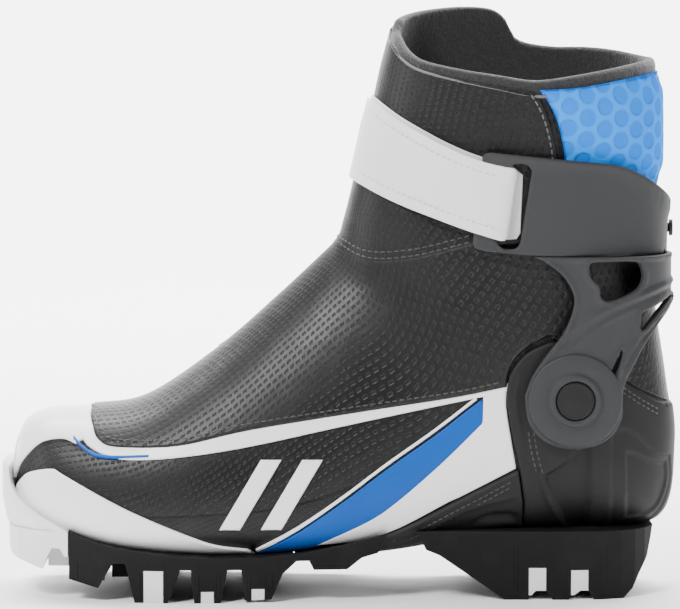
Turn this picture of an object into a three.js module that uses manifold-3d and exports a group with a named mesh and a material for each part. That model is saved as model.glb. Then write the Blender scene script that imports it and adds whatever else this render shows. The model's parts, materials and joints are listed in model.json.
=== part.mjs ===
// A left cross country skating boot: a soft boot on a bar-and-groove ski sole, with a moulded heel
// counter and an ankle cuff that turns about the ankle and is closed by a hook-and-loop strap.
//
// Millimetres, +Z up. The toe points to -X, the outer (lateral) side faces -Y, and the origin is
// at the middle of the boot's length, on the ground.
import * as THREE from "three";
import { mergeVertices } from "three/addons/utils/BufferGeometryUtils.js";
import Module from "manifold-3d";

const wasm = await Module();
wasm.setup();

// ---------------------------------------------------------------- driving dimensions
const BOOT_LENGTH = 300;
const BOOT_HEIGHT = 258;
const BOOT_WIDTH = 97;

const SHELL_WALL = 3.2; // softshell, foam and fleece of the upper
const FIT_GAP = 0.4; // between two pieces that lie on each other
const FILM = 0.9; // welded films
const COVER = 1.5; // lace cover
const COLLAR_SKIN = 0.9;
const COLLAR_FOAM = 4; // above the band, which squeezes it
const SQUEEZED_FOAM = 1.6;

const PIVOT = { x: 102.5, z: 88 }; // ankle axis, on the size 42 last
const FLEX_FORWARD = 15; // degrees
const FLEX_BACK = 5;
const HEM_RADIUS = 44; // from the ankle axis to the hem of the collar
const HEM_TILT = 79; // degrees from +X to the hem's normal

const COUNTER_WALL = 2.8; // heel counter and shank
const RIB = 1.2;
const CUFF_WALL = 3.2;
const BAND_WALL = 3.2;
const BAR_WALL = 1.6; // the band's front bar, where the strap turns back
const TONGUE_WALL = 2.4; // the cuff's tongues under the band
const BOSS_RADIUS = 20.5;
const BOSS_RISE = 1.2;
const RING_RADIUS = 11;
const PIN_HEAD_RADIUS = 8;
const PIN_RADIUS = 4;

const STRAP_WIDTH = 33;
const STRAP_THICKNESS = 1.2;
const SLOT_WIDTH = 9;
const SLOT_SPARE = 2; // slot longer than the strap is wide
const GROOVE_WIDTH = 26; // the binding's guide rail runs here
const GROOVE_DEPTH = 9;
const BINDING_BAR_RADIUS = 2;
const BINDING_BAR_LENGTH = 42;
const BUMPER_WALL = 4;
const INSOLE = 4;
const SCREW_RADIUS = 2;
const SCREW_HEAD_RADIUS = 3.6;
const ZIP_WIDTH = 7;
const ZIP_TRAVEL = 45;

// ---------------------------------------------------------------- the last
// Shapes are drawn in millimetres on the size 42 last and follow the driving dimensions.
const SIZE_42 = { length: 300, height: 258, width: 97 };
const LENGTHWAYS = BOOT_LENGTH / SIZE_42.length;
const UPWARDS = BOOT_HEIGHT / SIZE_42.height;
const SIDEWAYS = BOOT_WIDTH / SIZE_42.width;
const at = (x, z) => new THREE.Vector2(x * LENGTHWAYS, z * UPWARDS);
const ankle = at(PIVOT.x, PIVOT.z);

// Sections across the boot, from the toe round the heel to the top. Each lies between a point on the
// crown (toe, instep and shin) and one on the keel (sole, heel and tendon).
// crown x, z, keel x, z, half width, height of the widest place, fullness above and below it, sideways shift
const SECTIONS = [
  [-143.5, 62, -144, 44, 9, 0.5, 2.0, 2.0, 4],
  [-139, 74, -141, 32, 21, 0.42, 2.2, 2.4, 3.6],
  [-128, 79.5, -131, 26, 32.5, 0.36, 2.3, 2.8, 3],
  [-108, 80.5, -112, 22, 40.5, 0.32, 2.3, 3.0, 2],
  [-85, 85, -88, 19, 44, 0.28, 2.1, 3.2, 1],
  [-54, 106, -55, 17.5, 44.5, 0.24, 1.85, 3.2, 0],
  [-28, 128.5, -20, 18, 42, 0.22, 1.8, 3.2, -1],
  [-8, 147, 20, 21, 39, 0.26, 1.85, 3.0, -1],
  [0, 155, 62, 27, 37, 0.34, 2.0, 2.8, -0.5],
  [3, 163, 105, 30, 36.5, 0.42, 2.2, 2.8, 0],
  [5.5, 172, 140.5, 35.5, 36.5, 0.46, 2.4, 2.7, 0],
  [8, 182, 147, 68, 36, 0.47, 2.4, 2.5, 0],
  [10.5, 192, 144, 97, 35.5, 0.48, 2.3, 2.4, 0],
  [13, 203, 139, 130, 36, 0.49, 2.2, 2.3, 0],
  [16.5, 216, 138, 160, 37, 0.5, 2.2, 2.2, 0],
  [20, 232, 139.5, 195, 38.5, 0.5, 2.2, 2.2, 0],
  [24, 247, 139, 229, 39.5, 0.5, 2.2, 2.2, 0],
  [28, 263, 139, 252, 40, 0.5, 2.2, 2.2, 0],
];
const channel = (a, b) => new THREE.SplineCurve(SECTIONS.map((s) => new THREE.Vector2(s[a], s[b])));
const crown = new THREE.SplineCurve(SECTIONS.map((s) => at(s[0], s[1])));
const keel = new THREE.SplineCurve(SECTIONS.map((s) => at(s[2], s[3])));
const girth = channel(4, 5);
const fullness = channel(6, 7);
const shift = channel(8, 8);
const RINGS = 26;
const SIDES = 18;
const NOSE = 0.2; // share of the sections over which a growing toe also grows forwards

const power = (value, exponent) => Math.sign(value) * Math.abs(value) ** exponent;
const smooth = (low, high, value) => THREE.MathUtils.smoothstep(value, low, high);

// A point on the last grown by `grow` mm. u runs from the toe to the top, angle from the lateral side up.
function lastPoint(u, angle, grow) {
  const top = crown.getPoint(u);
  const bottom = keel.getPoint(u);
  const along = top.clone().sub(bottom);
  const height = along.length();
  along.divideScalar(height);
  const { x: halfWidth, y: widest } = girth.getPoint(u);
  const full = fullness.getPoint(u);
  const up = Math.sin(angle);
  const exponent = 2 / (up > 0 ? full.x : full.y);
  const reach = up > 0 ? (1 - widest) * height : widest * height;
  const rise = widest * height + power(up, exponent) * (reach + grow);
  const side = shift.getPoint(u).x - power(Math.cos(angle), exponent) * (halfWidth + grow / SIDEWAYS);
  const forwards = grow * (1 - smooth(0, NOSE, u));
  const x = bottom.x + along.x * rise - forwards;
  return new THREE.Vector3(x, side * SIDEWAYS, bottom.y + along.y * rise);
}

// ---------------------------------------------------------------- solids
function solid(geometry) {
  const bare = new THREE.BufferGeometry().setAttribute("position", geometry.getAttribute("position"));
  bare.setIndex(geometry.index);
  const merged = mergeVertices(bare, 1e-4);
  return new wasm.Manifold(
    new wasm.Mesh({
      numProp: 3,
      vertProperties: merged.attributes.position.array,
      triVerts: new Uint32Array(merged.index.array),
    }),
  );
}

// The whole last as a closed solid, grown by a number or by a function of the point on the bare last.
function last(grow) {
  const points = [];
  const faces = [];
  for (let ring = 0; ring <= RINGS; ring++)
    for (let side = 0; side < SIDES; side++) {
      const u = ring / RINGS;
      const angle = (2 * Math.PI * side) / SIDES;
      const by = typeof grow === "function" ? grow(lastPoint(u, angle, 0)) : grow;
      points.push(...lastPoint(u, angle, by));
    }
  for (let ring = 0; ring < RINGS; ring++)
    for (let side = 0; side < SIDES; side++) {
      const a = ring * SIDES + side;
      const b = ring * SIDES + ((side + 1) % SIDES);
      faces.push(a, a + SIDES, b, b, a + SIDES, b + SIDES);
    }
  for (let side = 1; side < SIDES - 1; side++) {
    const top = RINGS * SIDES;
    faces.push(0, side, side + 1);
    faces.push(top, top + side + 1, top + side);
  }
  const geometry = new THREE.BufferGeometry();
  geometry.setAttribute("position", new THREE.Float32BufferAttribute(points, 3));
  geometry.setIndex(faces);
  return solid(geometry);
}

// A shell that lies on the last, from `inner` to `outer` mm outside it.
const layer = (inner, outer) => last(outer).subtract(last(inner));

// A side outline: a pair is a corner, a list of pairs a smooth run from the point before it.
function outline(start, ...moves) {
  const shape = new THREE.Shape();
  const first = at(...start);
  shape.moveTo(first.x, first.y);
  for (const move of moves) {
    const run = (Array.isArray(move[0]) ? move : [move]).map(([x, z]) => at(x, z));
    if (run.length > 1) shape.splineThru(run);
    else shape.lineTo(run[0].x, run[0].y);
  }
  return shape;
}

// An outline grown outwards by a number of millimetres.
function grown(shape, by) {
  const points = shape.getPoints(2);
  const turn = THREE.ShapeUtils.isClockWise(points) ? -by : by;
  const moved = points.map((point, i) => {
    const next = points[(i + 1) % points.length];
    const before = points[(i + points.length - 1) % points.length];
    const way = next.clone().sub(before).normalize().multiplyScalar(turn);
    return point.clone().add(new THREE.Vector2(way.y, -way.x));
  });
  return new THREE.Shape(moved);
}

// A band of constant width along a smooth line of points.
function ribbon(width, line) {
  const run = new THREE.SplineCurve(line.map(([x, z]) => at(x, z)));
  const edge = (share, side) => {
    const way = run.getTangent(share);
    return run.getPoint(share).add(new THREE.Vector2(-way.y, way.x).multiplyScalar((side * width) / 2));
  };
  const shares = [0, 0.2, 0.4, 0.6, 0.8, 1];
  return new THREE.Shape([...shares.map((s) => edge(s, -1)), ...shares.reverse().map((s) => edge(s, 1))]);
}

const WIDE = 2 * BOOT_WIDTH;

// An outline pushed along its normal.
const extruded = (shape, depth, curveSegments) =>
  new THREE.ExtrudeGeometry(shape, { depth, bevelEnabled: false, curveSegments });

// A side outline pushed through the boot from y = from to y = to.
function through(shape, from = -WIDE, to = WIDE) {
  const geometry = extruded(shape, to - from, 2);
  geometry.rotateX(Math.PI / 2).translate(0, to, 0);
  return solid(geometry);
}

// A plan outline pushed up from z = from to z = to.
function upright(shape, from, to) {
  const geometry = extruded(shape, to - from, 4);
  return solid(geometry.translate(0, 0, from));
}

function box(low, high) {
  const size = high.map((value, i) => value - low[i]);
  const middle = high.map((value, i) => (value + low[i]) / 2);
  return solid(new THREE.BoxGeometry(...size).translate(...middle));
}

// Everything on one side of the boot.
const halfSpace = (side) => {
  const [from, to] = side < 0 ? [-WIDE, 0] : [0, WIDE];
  return [[-WIDE * 2, from, -WIDE], [WIDE * 2, to, WIDE * 4]];
};

// A round pin across the boot between two distances from its middle plane, at a place in the side view.
function pin(place, radius, from, to, segments = 20) {
  const geometry = new THREE.CylinderGeometry(radius, radius, to - from, segments);
  return solid(geometry.translate(place.x, (from + to) / 2, place.y));
}

// Everything on the far side of a line across the side view, at a distance from the ankle axis.
function beyond(degrees, distance) {
  const reach = 3 * BOOT_LENGTH;
  const geometry = new THREE.BoxGeometry(reach, reach, reach);
  geometry.translate(distance + reach / 2, 0, 0);
  geometry.rotateY(-THREE.MathUtils.degToRad(degrees));
  return solid(geometry.translate(ankle.x, 0, ankle.y));
}

const SIDES_OF_BOOT = { lateral: -1, medial: 1 };
const reach = (side, from = 0) => (side < 0 ? [-WIDE, -from] : [from, WIDE]);
const mirrored = (body, side) => (side < 0 ? body : body.mirror([0, 1, 0]));
const boot = new THREE.Group();

const finishes = {
  fleece: { color: 0x1c1c1d, roughness: 1, metalness: 0 },
  softshell: { color: 0x19191b, roughness: 0.5, metalness: 0 },
  white_film: { color: 0xe6e6e6, roughness: 0.45, metalness: 0 },
  blue_film: { color: 0x0b63b0, roughness: 0.45, metalness: 0 },
  blue_foam: { color: 0x2b8ae2, roughness: 0.9, metalness: 0 },
  moulded: { color: 0x35363a, roughness: 0.6, metalness: 0 },
  rubber: { color: 0x161617, roughness: 0.75, metalness: 0 },
  white_rubber: { color: 0xe0e0e0, roughness: 0.5, metalness: 0 },
  steel: { color: 0xb8babd, roughness: 0.3, metalness: 1 },
};

function add(name, body, finish) {
  const mesh = body.getMesh();
  const geometry = new THREE.BufferGeometry();
  geometry.setAttribute("position", new THREE.BufferAttribute(mesh.vertProperties.slice(), 3));
  geometry.setIndex(new THREE.BufferAttribute(mesh.triVerts.slice(), 1));
  const material = new THREE.MeshStandardMaterial({ name: finish, ...finishes[finish] });
  const piece = new THREE.Mesh(geometry, material);
  piece.name = name;
  boot.add(piece);
  return body;
}

// ---------------------------------------------------------------- inner boot and collar
// The collar turns with the cuff, so what stays with the foot ends under the hem's lines at both limits.
const HEM_GAP = 1.2;
const collarSide = beyond(HEM_TILT, HEM_RADIUS);
const sweptByCollar = [0, FLEX_FORWARD, -FLEX_BACK]
  .map((turn) => beyond(HEM_TILT + turn, HEM_RADIUS - HEM_GAP))
  .reduce((a, b) => a.add(b));
const aheadOfAnkle = through(outline([-250, -10], [PIVOT.x - 12, -10], [PIVOT.x - 12, 330], [-250, 330]));
const flexFold = beyond(HEM_TILT + FLEX_FORWARD, HEM_RADIUS - HEM_GAP + FIT_GAP)
  .subtract(beyond(HEM_TILT, HEM_RADIUS - FIT_GAP))
  .intersect(aheadOfAnkle);

// Top edge of the collar, which rises higher on the medial side.
const topLateral = outline([-250, 90], [-250, 252], [20, 252],
  [[27, 241], [35, 234], [52, 229.5], [86, 224], [120, 228], [150, 233]], [250, 233], [250, 90]);
const topMedial = outline([-250, 90], [-250, 252], [20, 252],
  [[30, 254.5], [44, 257.5], [68, 257], [76, 250], [82, 240], [95, 238.5], [150, 233]],
  [250, 233], [250, 90]);
const underTop = through(topLateral, ...reach(-1)).add(through(topMedial, ...reach(1)));

function makeInnerBoot() {
  const shell = layer(-SHELL_WALL, 0);
  add("upper", shell.subtract(sweptByCollar), "softshell");
  add("ankle_flex_fold", shell.intersect(flexFold), "softshell");
  add("collar_lining", shell.intersect(collarSide).intersect(underTop), "fleece");

  const cavity = last(-SHELL_WALL - FIT_GAP);
  const footbed = outline([-250, 0], [-250, 33], [-90, 33],
    [[-50, 31], [0, 34], [60, 40], [150, 50]], [150, 0]);
  add("insole", cavity.subtract(cavity.translate(0, 0, INSOLE)).intersect(through(footbed)), "fleece");
}

// ---------------------------------------------------------------- heel counter, shank and heel panel
const counterInner = FIT_GAP;
const counterOuter = counterInner + COUNTER_WALL;
const counterOutline = outline([92, 113.5], [[82.5, 109], [75.5, 101], [73, 92], [74, 80], [78, 59]],
  [80, 44], [80, 10], [170, 10], [170, 82], [[146, 84.3], [138, 86.5], [129, 92], [119, 99], [106, 111]]);
const counterFit = through(grown(counterOutline, FIT_GAP));

function makeHeelCounter() {
  const counterHole = (side) => pin(ankle, PIN_RADIUS + FIT_GAP, ...reach(side));
  const ribs = [
    outline([84, 57], [90, 57], [103, 33], [97, 33]),
    outline([110, 66], [115.5, 66], [117.2, 33], [111.7, 33]),
  ];
  const recess = outline([125, 66], [160, 66], [160, 33], [127, 33]);
  let counter = layer(counterInner, counterOuter).intersect(through(counterOutline));
  const ribLayer = layer(counterOuter - FIT_GAP, counterOuter + RIB);
  for (const rib of ribs) counter = counter.add(ribLayer.intersect(through(rib)));
  counter = counter.subtract(layer(counterOuter - RIB, counterOuter + 2 * RIB).intersect(through(recess)));
  add("heel_counter", counter.subtract(counterHole(-1)).subtract(counterHole(1)), "moulded");
}

function makeShank() {
  const shankOutline = outline([-20, 0], [-20, 21], [-14, 21.6],
    [[26, 31.1], [54, 45.1], [77.5, 58]], [79.2, 44], [79.2, 0]);
  const shankHole = outline([58, 32], [77, 40], [77, 32]);
  const shank = layer(counterInner, counterOuter).intersect(through(shankOutline));
  add("shank", shank.subtract(counterFit).subtract(through(shankHole)).subtract(filmFit), "moulded");
}

const skin = layer(FIT_GAP, FIT_GAP + FILM);

function makeHeelPanel() {
  const behindCover = through(outline([92.5, 90], [92.5, 250], [250, 250], [250, 60], [140, 60]));
  add("heel_panel", skin.intersect(behindCover).subtract(counterFit).subtract(sweptByCollar), "softshell");
}

// ---------------------------------------------------------------- films and lace cover
const filmLower = [[54, 45.5], [26, 31.5], [-14, 22]];
const shoulder = [[-108, 68], [-99.5, 65], [-80, 64], [-55, 68], [-17, 75], [27, 83.5]];
const whiteOutline = outline([-170, 30], [-170, 90], [-111.5, 90], [-111.5, 76], shoulder, [71, 92], [77, 58],
  [...filmLower, [-55, 20], [-96, 24], [-118, 31], [-140, 44]]);
const stripe = outline([-38, 19], [[-17, 31], [4, 43.5], [59, 85.5]], [62.6, 86.5], [63.5, 77],
  [[47, 62], [13, 34.5], [-20, 22]]);
const filmFit = through(grown(whiteOutline, FIT_GAP));

function makeWhiteFilm() {
  const flash = outline([-143, 45], [-142, 57],
    [[-137, 64], [-128, 68.5], [-120, 67.5], [-109, 60.5], [-75, 60.5], [0, 74], [59, 87]],
    [[31, 67.5], [-17, 34], [-38, 24], [-64, 28], [-102, 48], [-126.5, 56.5]]);
  const white = skin.intersect(through(whiteOutline)).subtract(through(flash)).subtract(through(stripe));
  add("white_film", white.subtract(counterFit), "white_film");
}

function makeBlueStripes() {
  const aboveShank = through(outline([-31, 23.6], [100, 23.6], [100, 100], [-31, 100]));
  const stripeFit = through(grown(stripe, -FIT_GAP)).intersect(aboveShank);
  for (const [name, side] of Object.entries(SIDES_OF_BOOT)) {
    add("blue_stripe_" + name, skin.intersect(stripeFit).intersect(box(...halfSpace(side))), "blue_film");
  }
}

const MARK_SLANT = 18;

// Two slanted bars on the lateral side.
function makeMarks() {
  [-52, -34].forEach((x, i) => {
    const mark = outline([x, 32], [x + 9, 32], [x + 9 + MARK_SLANT, 62], [x + MARK_SLANT, 62]);
    add(`mark_${i + 1}`, skin.intersect(through(mark, ...reach(-1))), "white_film");
  });
}

const ZIP_SIDE = 2.05; // angle round the last, on the medial side of the crown
const zipLow = lastPoint(0.262, ZIP_SIDE, FIT_GAP + COVER);
const zipHigh = lastPoint(0.335, ZIP_SIDE, FIT_GAP + COVER);
const zipWay = zipHigh.clone().sub(zipLow).normalize();
const roundTheLast = lastPoint(0.3, ZIP_SIDE + 0.1, 0).sub(lastPoint(0.3, ZIP_SIDE - 0.1, 0));
const zipOut = zipWay.clone().cross(roundTheLast).normalize();
const zipAcross = zipOut.clone().cross(zipWay);
const zipFrame = new THREE.Matrix4().makeBasis(zipWay, zipAcross, zipOut).setPosition(zipHigh);

// A block in the zip's frame: x along it from its closed end, y across it and z out of the boot.
function zipBlock(low, high) {
  const size = high.map((value, i) => value - low[i]);
  const middle = high.map((value, i) => (value + low[i]) / 2);
  return solid(new THREE.BoxGeometry(...size).translate(...middle).applyMatrix4(zipFrame));
}

const ZIP_SPARE = 12; // tape beyond the slider at both ends
const TAPE_WALL = 1.2;
const zipHalf = ZIP_WIDTH / 2;
const zipFrom = -ZIP_TRAVEL - ZIP_SPARE;
const slot = zipBlock(
  [zipFrom - FIT_GAP, -zipHalf - FIT_GAP, -8],
  [ZIP_SPARE + FIT_GAP, zipHalf + FIT_GAP, 8],
);

// The lace cover closes over the instep and stops at the hem of the collar.
function makeLaceCover() {
  const coverEdge = [[-106.5, 71.5], [-99, 67.5], [-80, 66.5], [-55, 70.5], [-17, 77.5], [27, 86]];
  const coverOutline = outline([-110, 84], [-110, 78], coverEdge,
    [73, 94.5], [75, 105], [91.7, 116], [91.7, 320], [-110, 320]);
  const underHem = beyond(HEM_TILT, HEM_RADIUS - FIT_GAP);
  const cover = layer(FIT_GAP, FIT_GAP + COVER).intersect(through(coverOutline)).subtract(counterFit);
  add("lace_cover", cover.subtract(underHem).subtract(slot), "softshell");
}

function makeZip() {
  const tapeTop = TAPE_WALL - 0.3;
  const tape = zipBlock([zipFrom, -zipHalf, tapeTop - TAPE_WALL], [ZIP_SPARE, zipHalf, tapeTop]);
  add("zip_tape", tape.subtract(last(FIT_GAP)), "softshell");

  const sliderFloor = tapeTop + FIT_GAP;
  const pullAxis = sliderFloor + 3; // the pull's round bar turns in the slider's bridge
  const bridge = zipBlock([-2.9, -0.8, sliderFloor + 1], [2.9, 0.8, pullAxis + 2])
    .subtract(zipBlock([-1.9, -4, pullAxis - 1], [1.9, 4, pullAxis + 1]));
  add("zip_slider", zipBlock([-4.5, -3.2, sliderFloor], [4.5, 3.2, sliderFloor + 2]).add(bridge), "steel");
  const pullEye = zipBlock([-4, -1.2, 0], [-0.55, 1.2, 9]);
  const pull = zipBlock([-20, -2.6, pullAxis - 0.5], [0.55, 2.6, pullAxis + 0.5]);
  add("zip_pull", pull.subtract(pullEye), "steel");
}

// ---------------------------------------------------------------- sole
// Distance along the boot and half width, from toe to heel.
const SOLE_PLAN = [
  [-147.5, 3], [-145, 19], [-136, 32], [-118, 42], [-92, 47.3], [-62, 48.5], [-30, 45.5],
  [30, 38.5], [60, 37], [90, 38], [115, 36.5], [130, 29], [138, 17], [141, 4],
];
const SOLE_STEPS = 26;
const toeIn = (x) => 3 * (1 - smooth(-150, -30, x)); // the toe swings to the medial side
const solePlan = new THREE.SplineCurve(SOLE_PLAN.map(([x, half]) => new THREE.Vector2(x, half)));
const soleEdge = (side) =>
  solePlan
    .getPoints(SOLE_STEPS)
    .map((p) => new THREE.Vector2(p.x * LENGTHWAYS, (toeIn(p.x) + side * p.y) * SIDEWAYS));
const soleShape = new THREE.Shape([...soleEdge(-1), ...soleEdge(1).reverse()]);
const soleBlock = upright(soleShape, 0, 45 * UPWARDS);

const GROUND = -1;
const lugs = outline([-118, 31], [-118, 9.5], [-105, 6], [-98.5, 17], [-93, 17], [-89, 0], [-74.5, 0],
  [-69, 14.5], [-64.5, 14.5], [-63, 0], [-51.5, 0], [-48.5, 14.5], [-42.5, 14.5], [-41, 1],
  [-29.5, 1.4], [-24.5, 12.5], [-18.5, 18], [-13, 18], [-11, 14], [3.5, 14], [10, 19], [17, 21],
  [22, 30], [-14, 22], [-55, 19.5], [-96, 23.5]);
const heelLugs = outline([34, 30], [38, 22], [44, 19.5], [69.5, 2], [72, 0], [82.5, 0], [86, 4],
  [90.5, 4], [93.5, 0], [100, 0], [105.5, 4], [109, 4], [111.5, 0], [125, 0], [129, 4], [132, 10],
  [136, 17], [139, 30]);
const grooveHalf = GROOVE_WIDTH / 2;
const groove = box([-WIDE * 2, -grooveHalf, GROUND], [BOOT_LENGTH, grooveHalf, GROOVE_DEPTH]);
const bindingBars = { front: at(-123.7, 17.5), rear: at(-95.7, 12.5) };
const HOLDER_EDGE = 24; // half the width of the blocks that hold the binding bars
const barHolder = (place) => {
  const [half, edge] = [4.5, HOLDER_EDGE];
  return box([place.x - half, -edge, place.y - half], [place.x + half, edge, place.y + half + 4]);
};
const POCKET_LENGTH = 16; // room for the binding's claws
const POCKET_ROOM = 1.5; // above a binding bar
let barRoom = groove;
for (const place of Object.values(bindingBars)) {
  const roof = place.y + BINDING_BAR_RADIUS + POCKET_ROOM;
  const half = POCKET_LENGTH / 2;
  const barEnd = BINDING_BAR_LENGTH / 2 + 0.3;
  barRoom = barRoom
    .add(box([place.x - half, -grooveHalf, GROUND], [place.x + half, grooveHalf, roof]))
    .add(pin(place, BINDING_BAR_RADIUS + 0.3, -barEnd, barEnd, 16));
}

function makeBindingBars() {
  for (const [name, place] of Object.entries(bindingBars)) {
    const half = BINDING_BAR_LENGTH / 2;
    add(`binding_bar_${name}`, pin(place, BINDING_BAR_RADIUS, -half, half, 16), "steel");
  }
}

// Hard inserts set into the sides of the lugs.
const INSERTS = [
  [outline([-85, 0], [-76.5, 0], [-76.5, 14], [-85, 14]), "front_1"],
  [outline([-60, 0], [-54.5, 0], [-54.5, 5], [-60, 5]), "front_2"],
  [outline([-38, 0], [-32.5, 0], [-32.5, 6], [-38, 6]), "front_3"],
  [outline([83, 2], [90.5, 2], [90.5, 14], [83, 14]), "heel_1"],
  [outline([101.5, 2], [109, 2], [109, 13], [101.5, 13]), "heel_2"],
];
const INSERT_FROM = { front_1: 40, front_2: 40, front_3: 38, heel_1: 31, heel_2: 30 };

function makeSoles() {
  const shankRoom = last(counterOuter + FIT_GAP);
  const bareLast = last(FIT_GAP);
  const overShank = through(outline([-20.5, -5], [-20.5, 200], [200, 200], [200, -5]));
  const soleTop = bareLast.add(shankRoom.intersect(overShank));
  let frontSole = soleBlock.intersect(through(lugs)).add(barHolder(bindingBars.rear));
  frontSole = frontSole.subtract(soleTop).subtract(filmFit).subtract(barRoom);
  let heelSole = soleBlock.intersect(through(heelLugs)).subtract(shankRoom).subtract(barRoom);
  for (const [name, side] of Object.entries(SIDES_OF_BOOT)) {
    for (const [shape, place] of INSERTS) {
      const from = INSERT_FROM[place] * SIDEWAYS;
      const whole = place.startsWith("front") ? frontSole : heelSole;
      const insert = whole.intersect(through(shape, ...reach(side, from)));
      add(`tread_insert_${place}_${name}`, insert, "white_rubber");
      const hole = through(grown(shape, FIT_GAP / 2), ...reach(side, from - FIT_GAP / 2));
      if (place.startsWith("front")) frontSole = frontSole.subtract(hole);
      else heelSole = heelSole.subtract(hole);
    }
  }
  add("forefoot_sole", frontSole, "rubber");
  add("heel_sole", heelSole, "rubber");
}

function makeToeBumper() {
  const filmOuter = FIT_GAP + FILM;
  const bumperOutline = outline([-170, 58],
    [[-148, 58], [-145, 50], [-141.5, 44], [-133.5, 38], [-122, 32], [-118.4, 30]],
    [-118.4, 19], [-120, 19], [-122, 22.5], [-125.5, 22.5], [-127.5, 19], [-130, 13], [-144, 17],
    [-147, 20], [-170, 20]);
  const bumperFoot = upright(soleShape, 0, 30 * UPWARDS);
  const bumper = last(filmOuter + FIT_GAP + BUMPER_WALL).add(bumperFoot).intersect(through(bumperOutline))
    .add(barHolder(bindingBars.front));
  add("toe_bumper", bumper.subtract(last(filmOuter + FIT_GAP)).subtract(barRoom), "white_rubber");
}

// ---------------------------------------------------------------- cuff
// Flat arms and a round back, so that it can turn about the ankle outside the heel counter.
const armInner = 40.3 * SIDEWAYS;
const armOuter = armInner + CUFF_WALL;
const cuffBack = 147.4 * LENGTHWAYS;
const ROUND_FROM = 104 * LENGTHWAYS;

// A plan outline with straight sides and a rounded back.
function horseshoe(half, back) {
  const steps = 7;
  const points = [new THREE.Vector2(30 * LENGTHWAYS, -half)];
  for (let i = 0; i <= steps; i++) {
    const turn = -Math.PI / 2 + (Math.PI * i) / steps;
    const x = ROUND_FROM + (back - ROUND_FROM) * power(Math.cos(turn), 0.85);
    points.push(new THREE.Vector2(x, half * power(Math.sin(turn), 0.85)));
  }
  points.push(new THREE.Vector2(30 * LENGTHWAYS, half));
  return new THREE.Shape(points);
}

const bandInner = counterOuter + FIT_GAP + 1.6;
const bandOuter = bandInner + BAND_WALL;
const tongueOuter = bandInner - FIT_GAP;
const tongueInner = tongueOuter - TONGUE_WALL;
const bossOuter = armOuter + BOSS_RISE;
const screwPlace = at(0, 161);
const bandBack = keel.getPoint(0.824).x + bandOuter;

// A round screw pointing forwards out of the band's back.
function backScrew(radius, from, to) {
  const geometry = new THREE.CylinderGeometry(radius, radius, to - from, 20).rotateZ(Math.PI / 2);
  return solid(geometry.translate((from + to) / 2, 0, screwPlace.y));
}
const screwEnd = bandBack - BAND_WALL - FIT_GAP - TONGUE_WALL;
const screwHole = backScrew(SCREW_RADIUS + FIT_GAP / 2, screwEnd - 4, bandBack + 9);

function makeCuff() {
  const cuffTop = 150.6 * UPWARDS;
  const armOutline = outline([83, 151], [95, 142],
    [[101, 134], [101.5, 128], [97.5, 118], [90, 108], [84, 99], [80, 90]],
    [[84, 79], [92, 70], [103, 67], [114, 71], [121, 80], [122, 90]],
    [[127, 103], [134, 117], [141, 127]], [170, 130], [170, 151]);
  const window = outline([108, 148], [127, 148], [[131, 141], [128, 134]], [[115, 131], [109, 137]]);
  const armSlot = outline([113.5, 96], [[117, 101], [121, 110]], [[119, 101], [116, 95]]);
  const envelope = upright(horseshoe(armOuter, cuffBack), 0, cuffTop);
  const wall = envelope.subtract(upright(horseshoe(armInner, cuffBack - CUFF_WALL), -1, BOOT_HEIGHT));
  let cuff = wall.intersect(through(armOutline)).subtract(through(window)).subtract(through(armSlot));
  const tongueOutlines = [
    outline([87, 145], [104, 145], [104, 168], [87, 168]),
    outline([134, 145], [170, 145], [170, 172], [134, 172]),
  ];
  const rearTongue = layer(tongueOuter - 1, tongueOuter + 2 * CUFF_WALL).intersect(envelope);
  const tongueLayer = layer(tongueInner, tongueOuter).add(rearTongue);
  for (const tongue of tongueOutlines) cuff = cuff.add(tongueLayer.intersect(through(tongue)));
  for (const side of Object.values(SIDES_OF_BOOT)) {
    const ring = pin(ankle, RING_RADIUS, -bossOuter - 1, -armInner);
    const boss = pin(ankle, BOSS_RADIUS, -bossOuter, -armInner, 28).add(ring);
    const seat = pin(ankle, PIN_HEAD_RADIUS + FIT_GAP, -WIDE, -bossOuter + 1.2);
    const hole = pin(ankle, PIN_RADIUS + FIT_GAP, -WIDE, -armInner + 1, 14);
    cuff = cuff.add(mirrored(boss, side)).subtract(mirrored(seat, side)).subtract(mirrored(hole, side));
  }
  add("cuff", cuff.subtract(screwHole), "moulded");
}

function makeAnklePins() {
  for (const [name, side] of Object.entries(SIDES_OF_BOOT)) {
    const inner = girth.getPoint(0.6).x * SIDEWAYS + counterInner;
    const head = pin(ankle, PIN_HEAD_RADIUS, -bossOuter - 1.4, -bossOuter + 0.8);
    const shaft = pin(ankle, PIN_RADIUS, -bossOuter - 1, -inner).add(head);
    add(`ankle_pin_${name}`, mirrored(shaft, side), "moulded");
  }
}

// The band closes the top of the cuff; its thinner front bars carry the strap.
const STRAP_FOOT = 155.7; // where the strap's lower edge goes through the slot
const strapTall = STRAP_WIDTH / UPWARDS;
const slotSpare = SLOT_SPARE / UPWARDS;
const slotEnds = [STRAP_FOOT - slotSpare, STRAP_FOOT + strapTall + slotSpare];
const bandTop = slotEnds[1] + 4.7;
const slantAt = (offset, z) => 69.2 + offset + ((z - 156) * 4.6) / 33;
const slanted = (from, to, low, high) =>
  outline(
    [slantAt(from, low), low], [slantAt(to, low), low],
    [slantAt(to, high), high], [slantAt(from, high), high],
  );
const rivetPlace = at(66, 175);
const rivetHole = pin(rivetPlace, SCREW_RADIUS + FIT_GAP / 2, 0, WIDE, 16);

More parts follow.
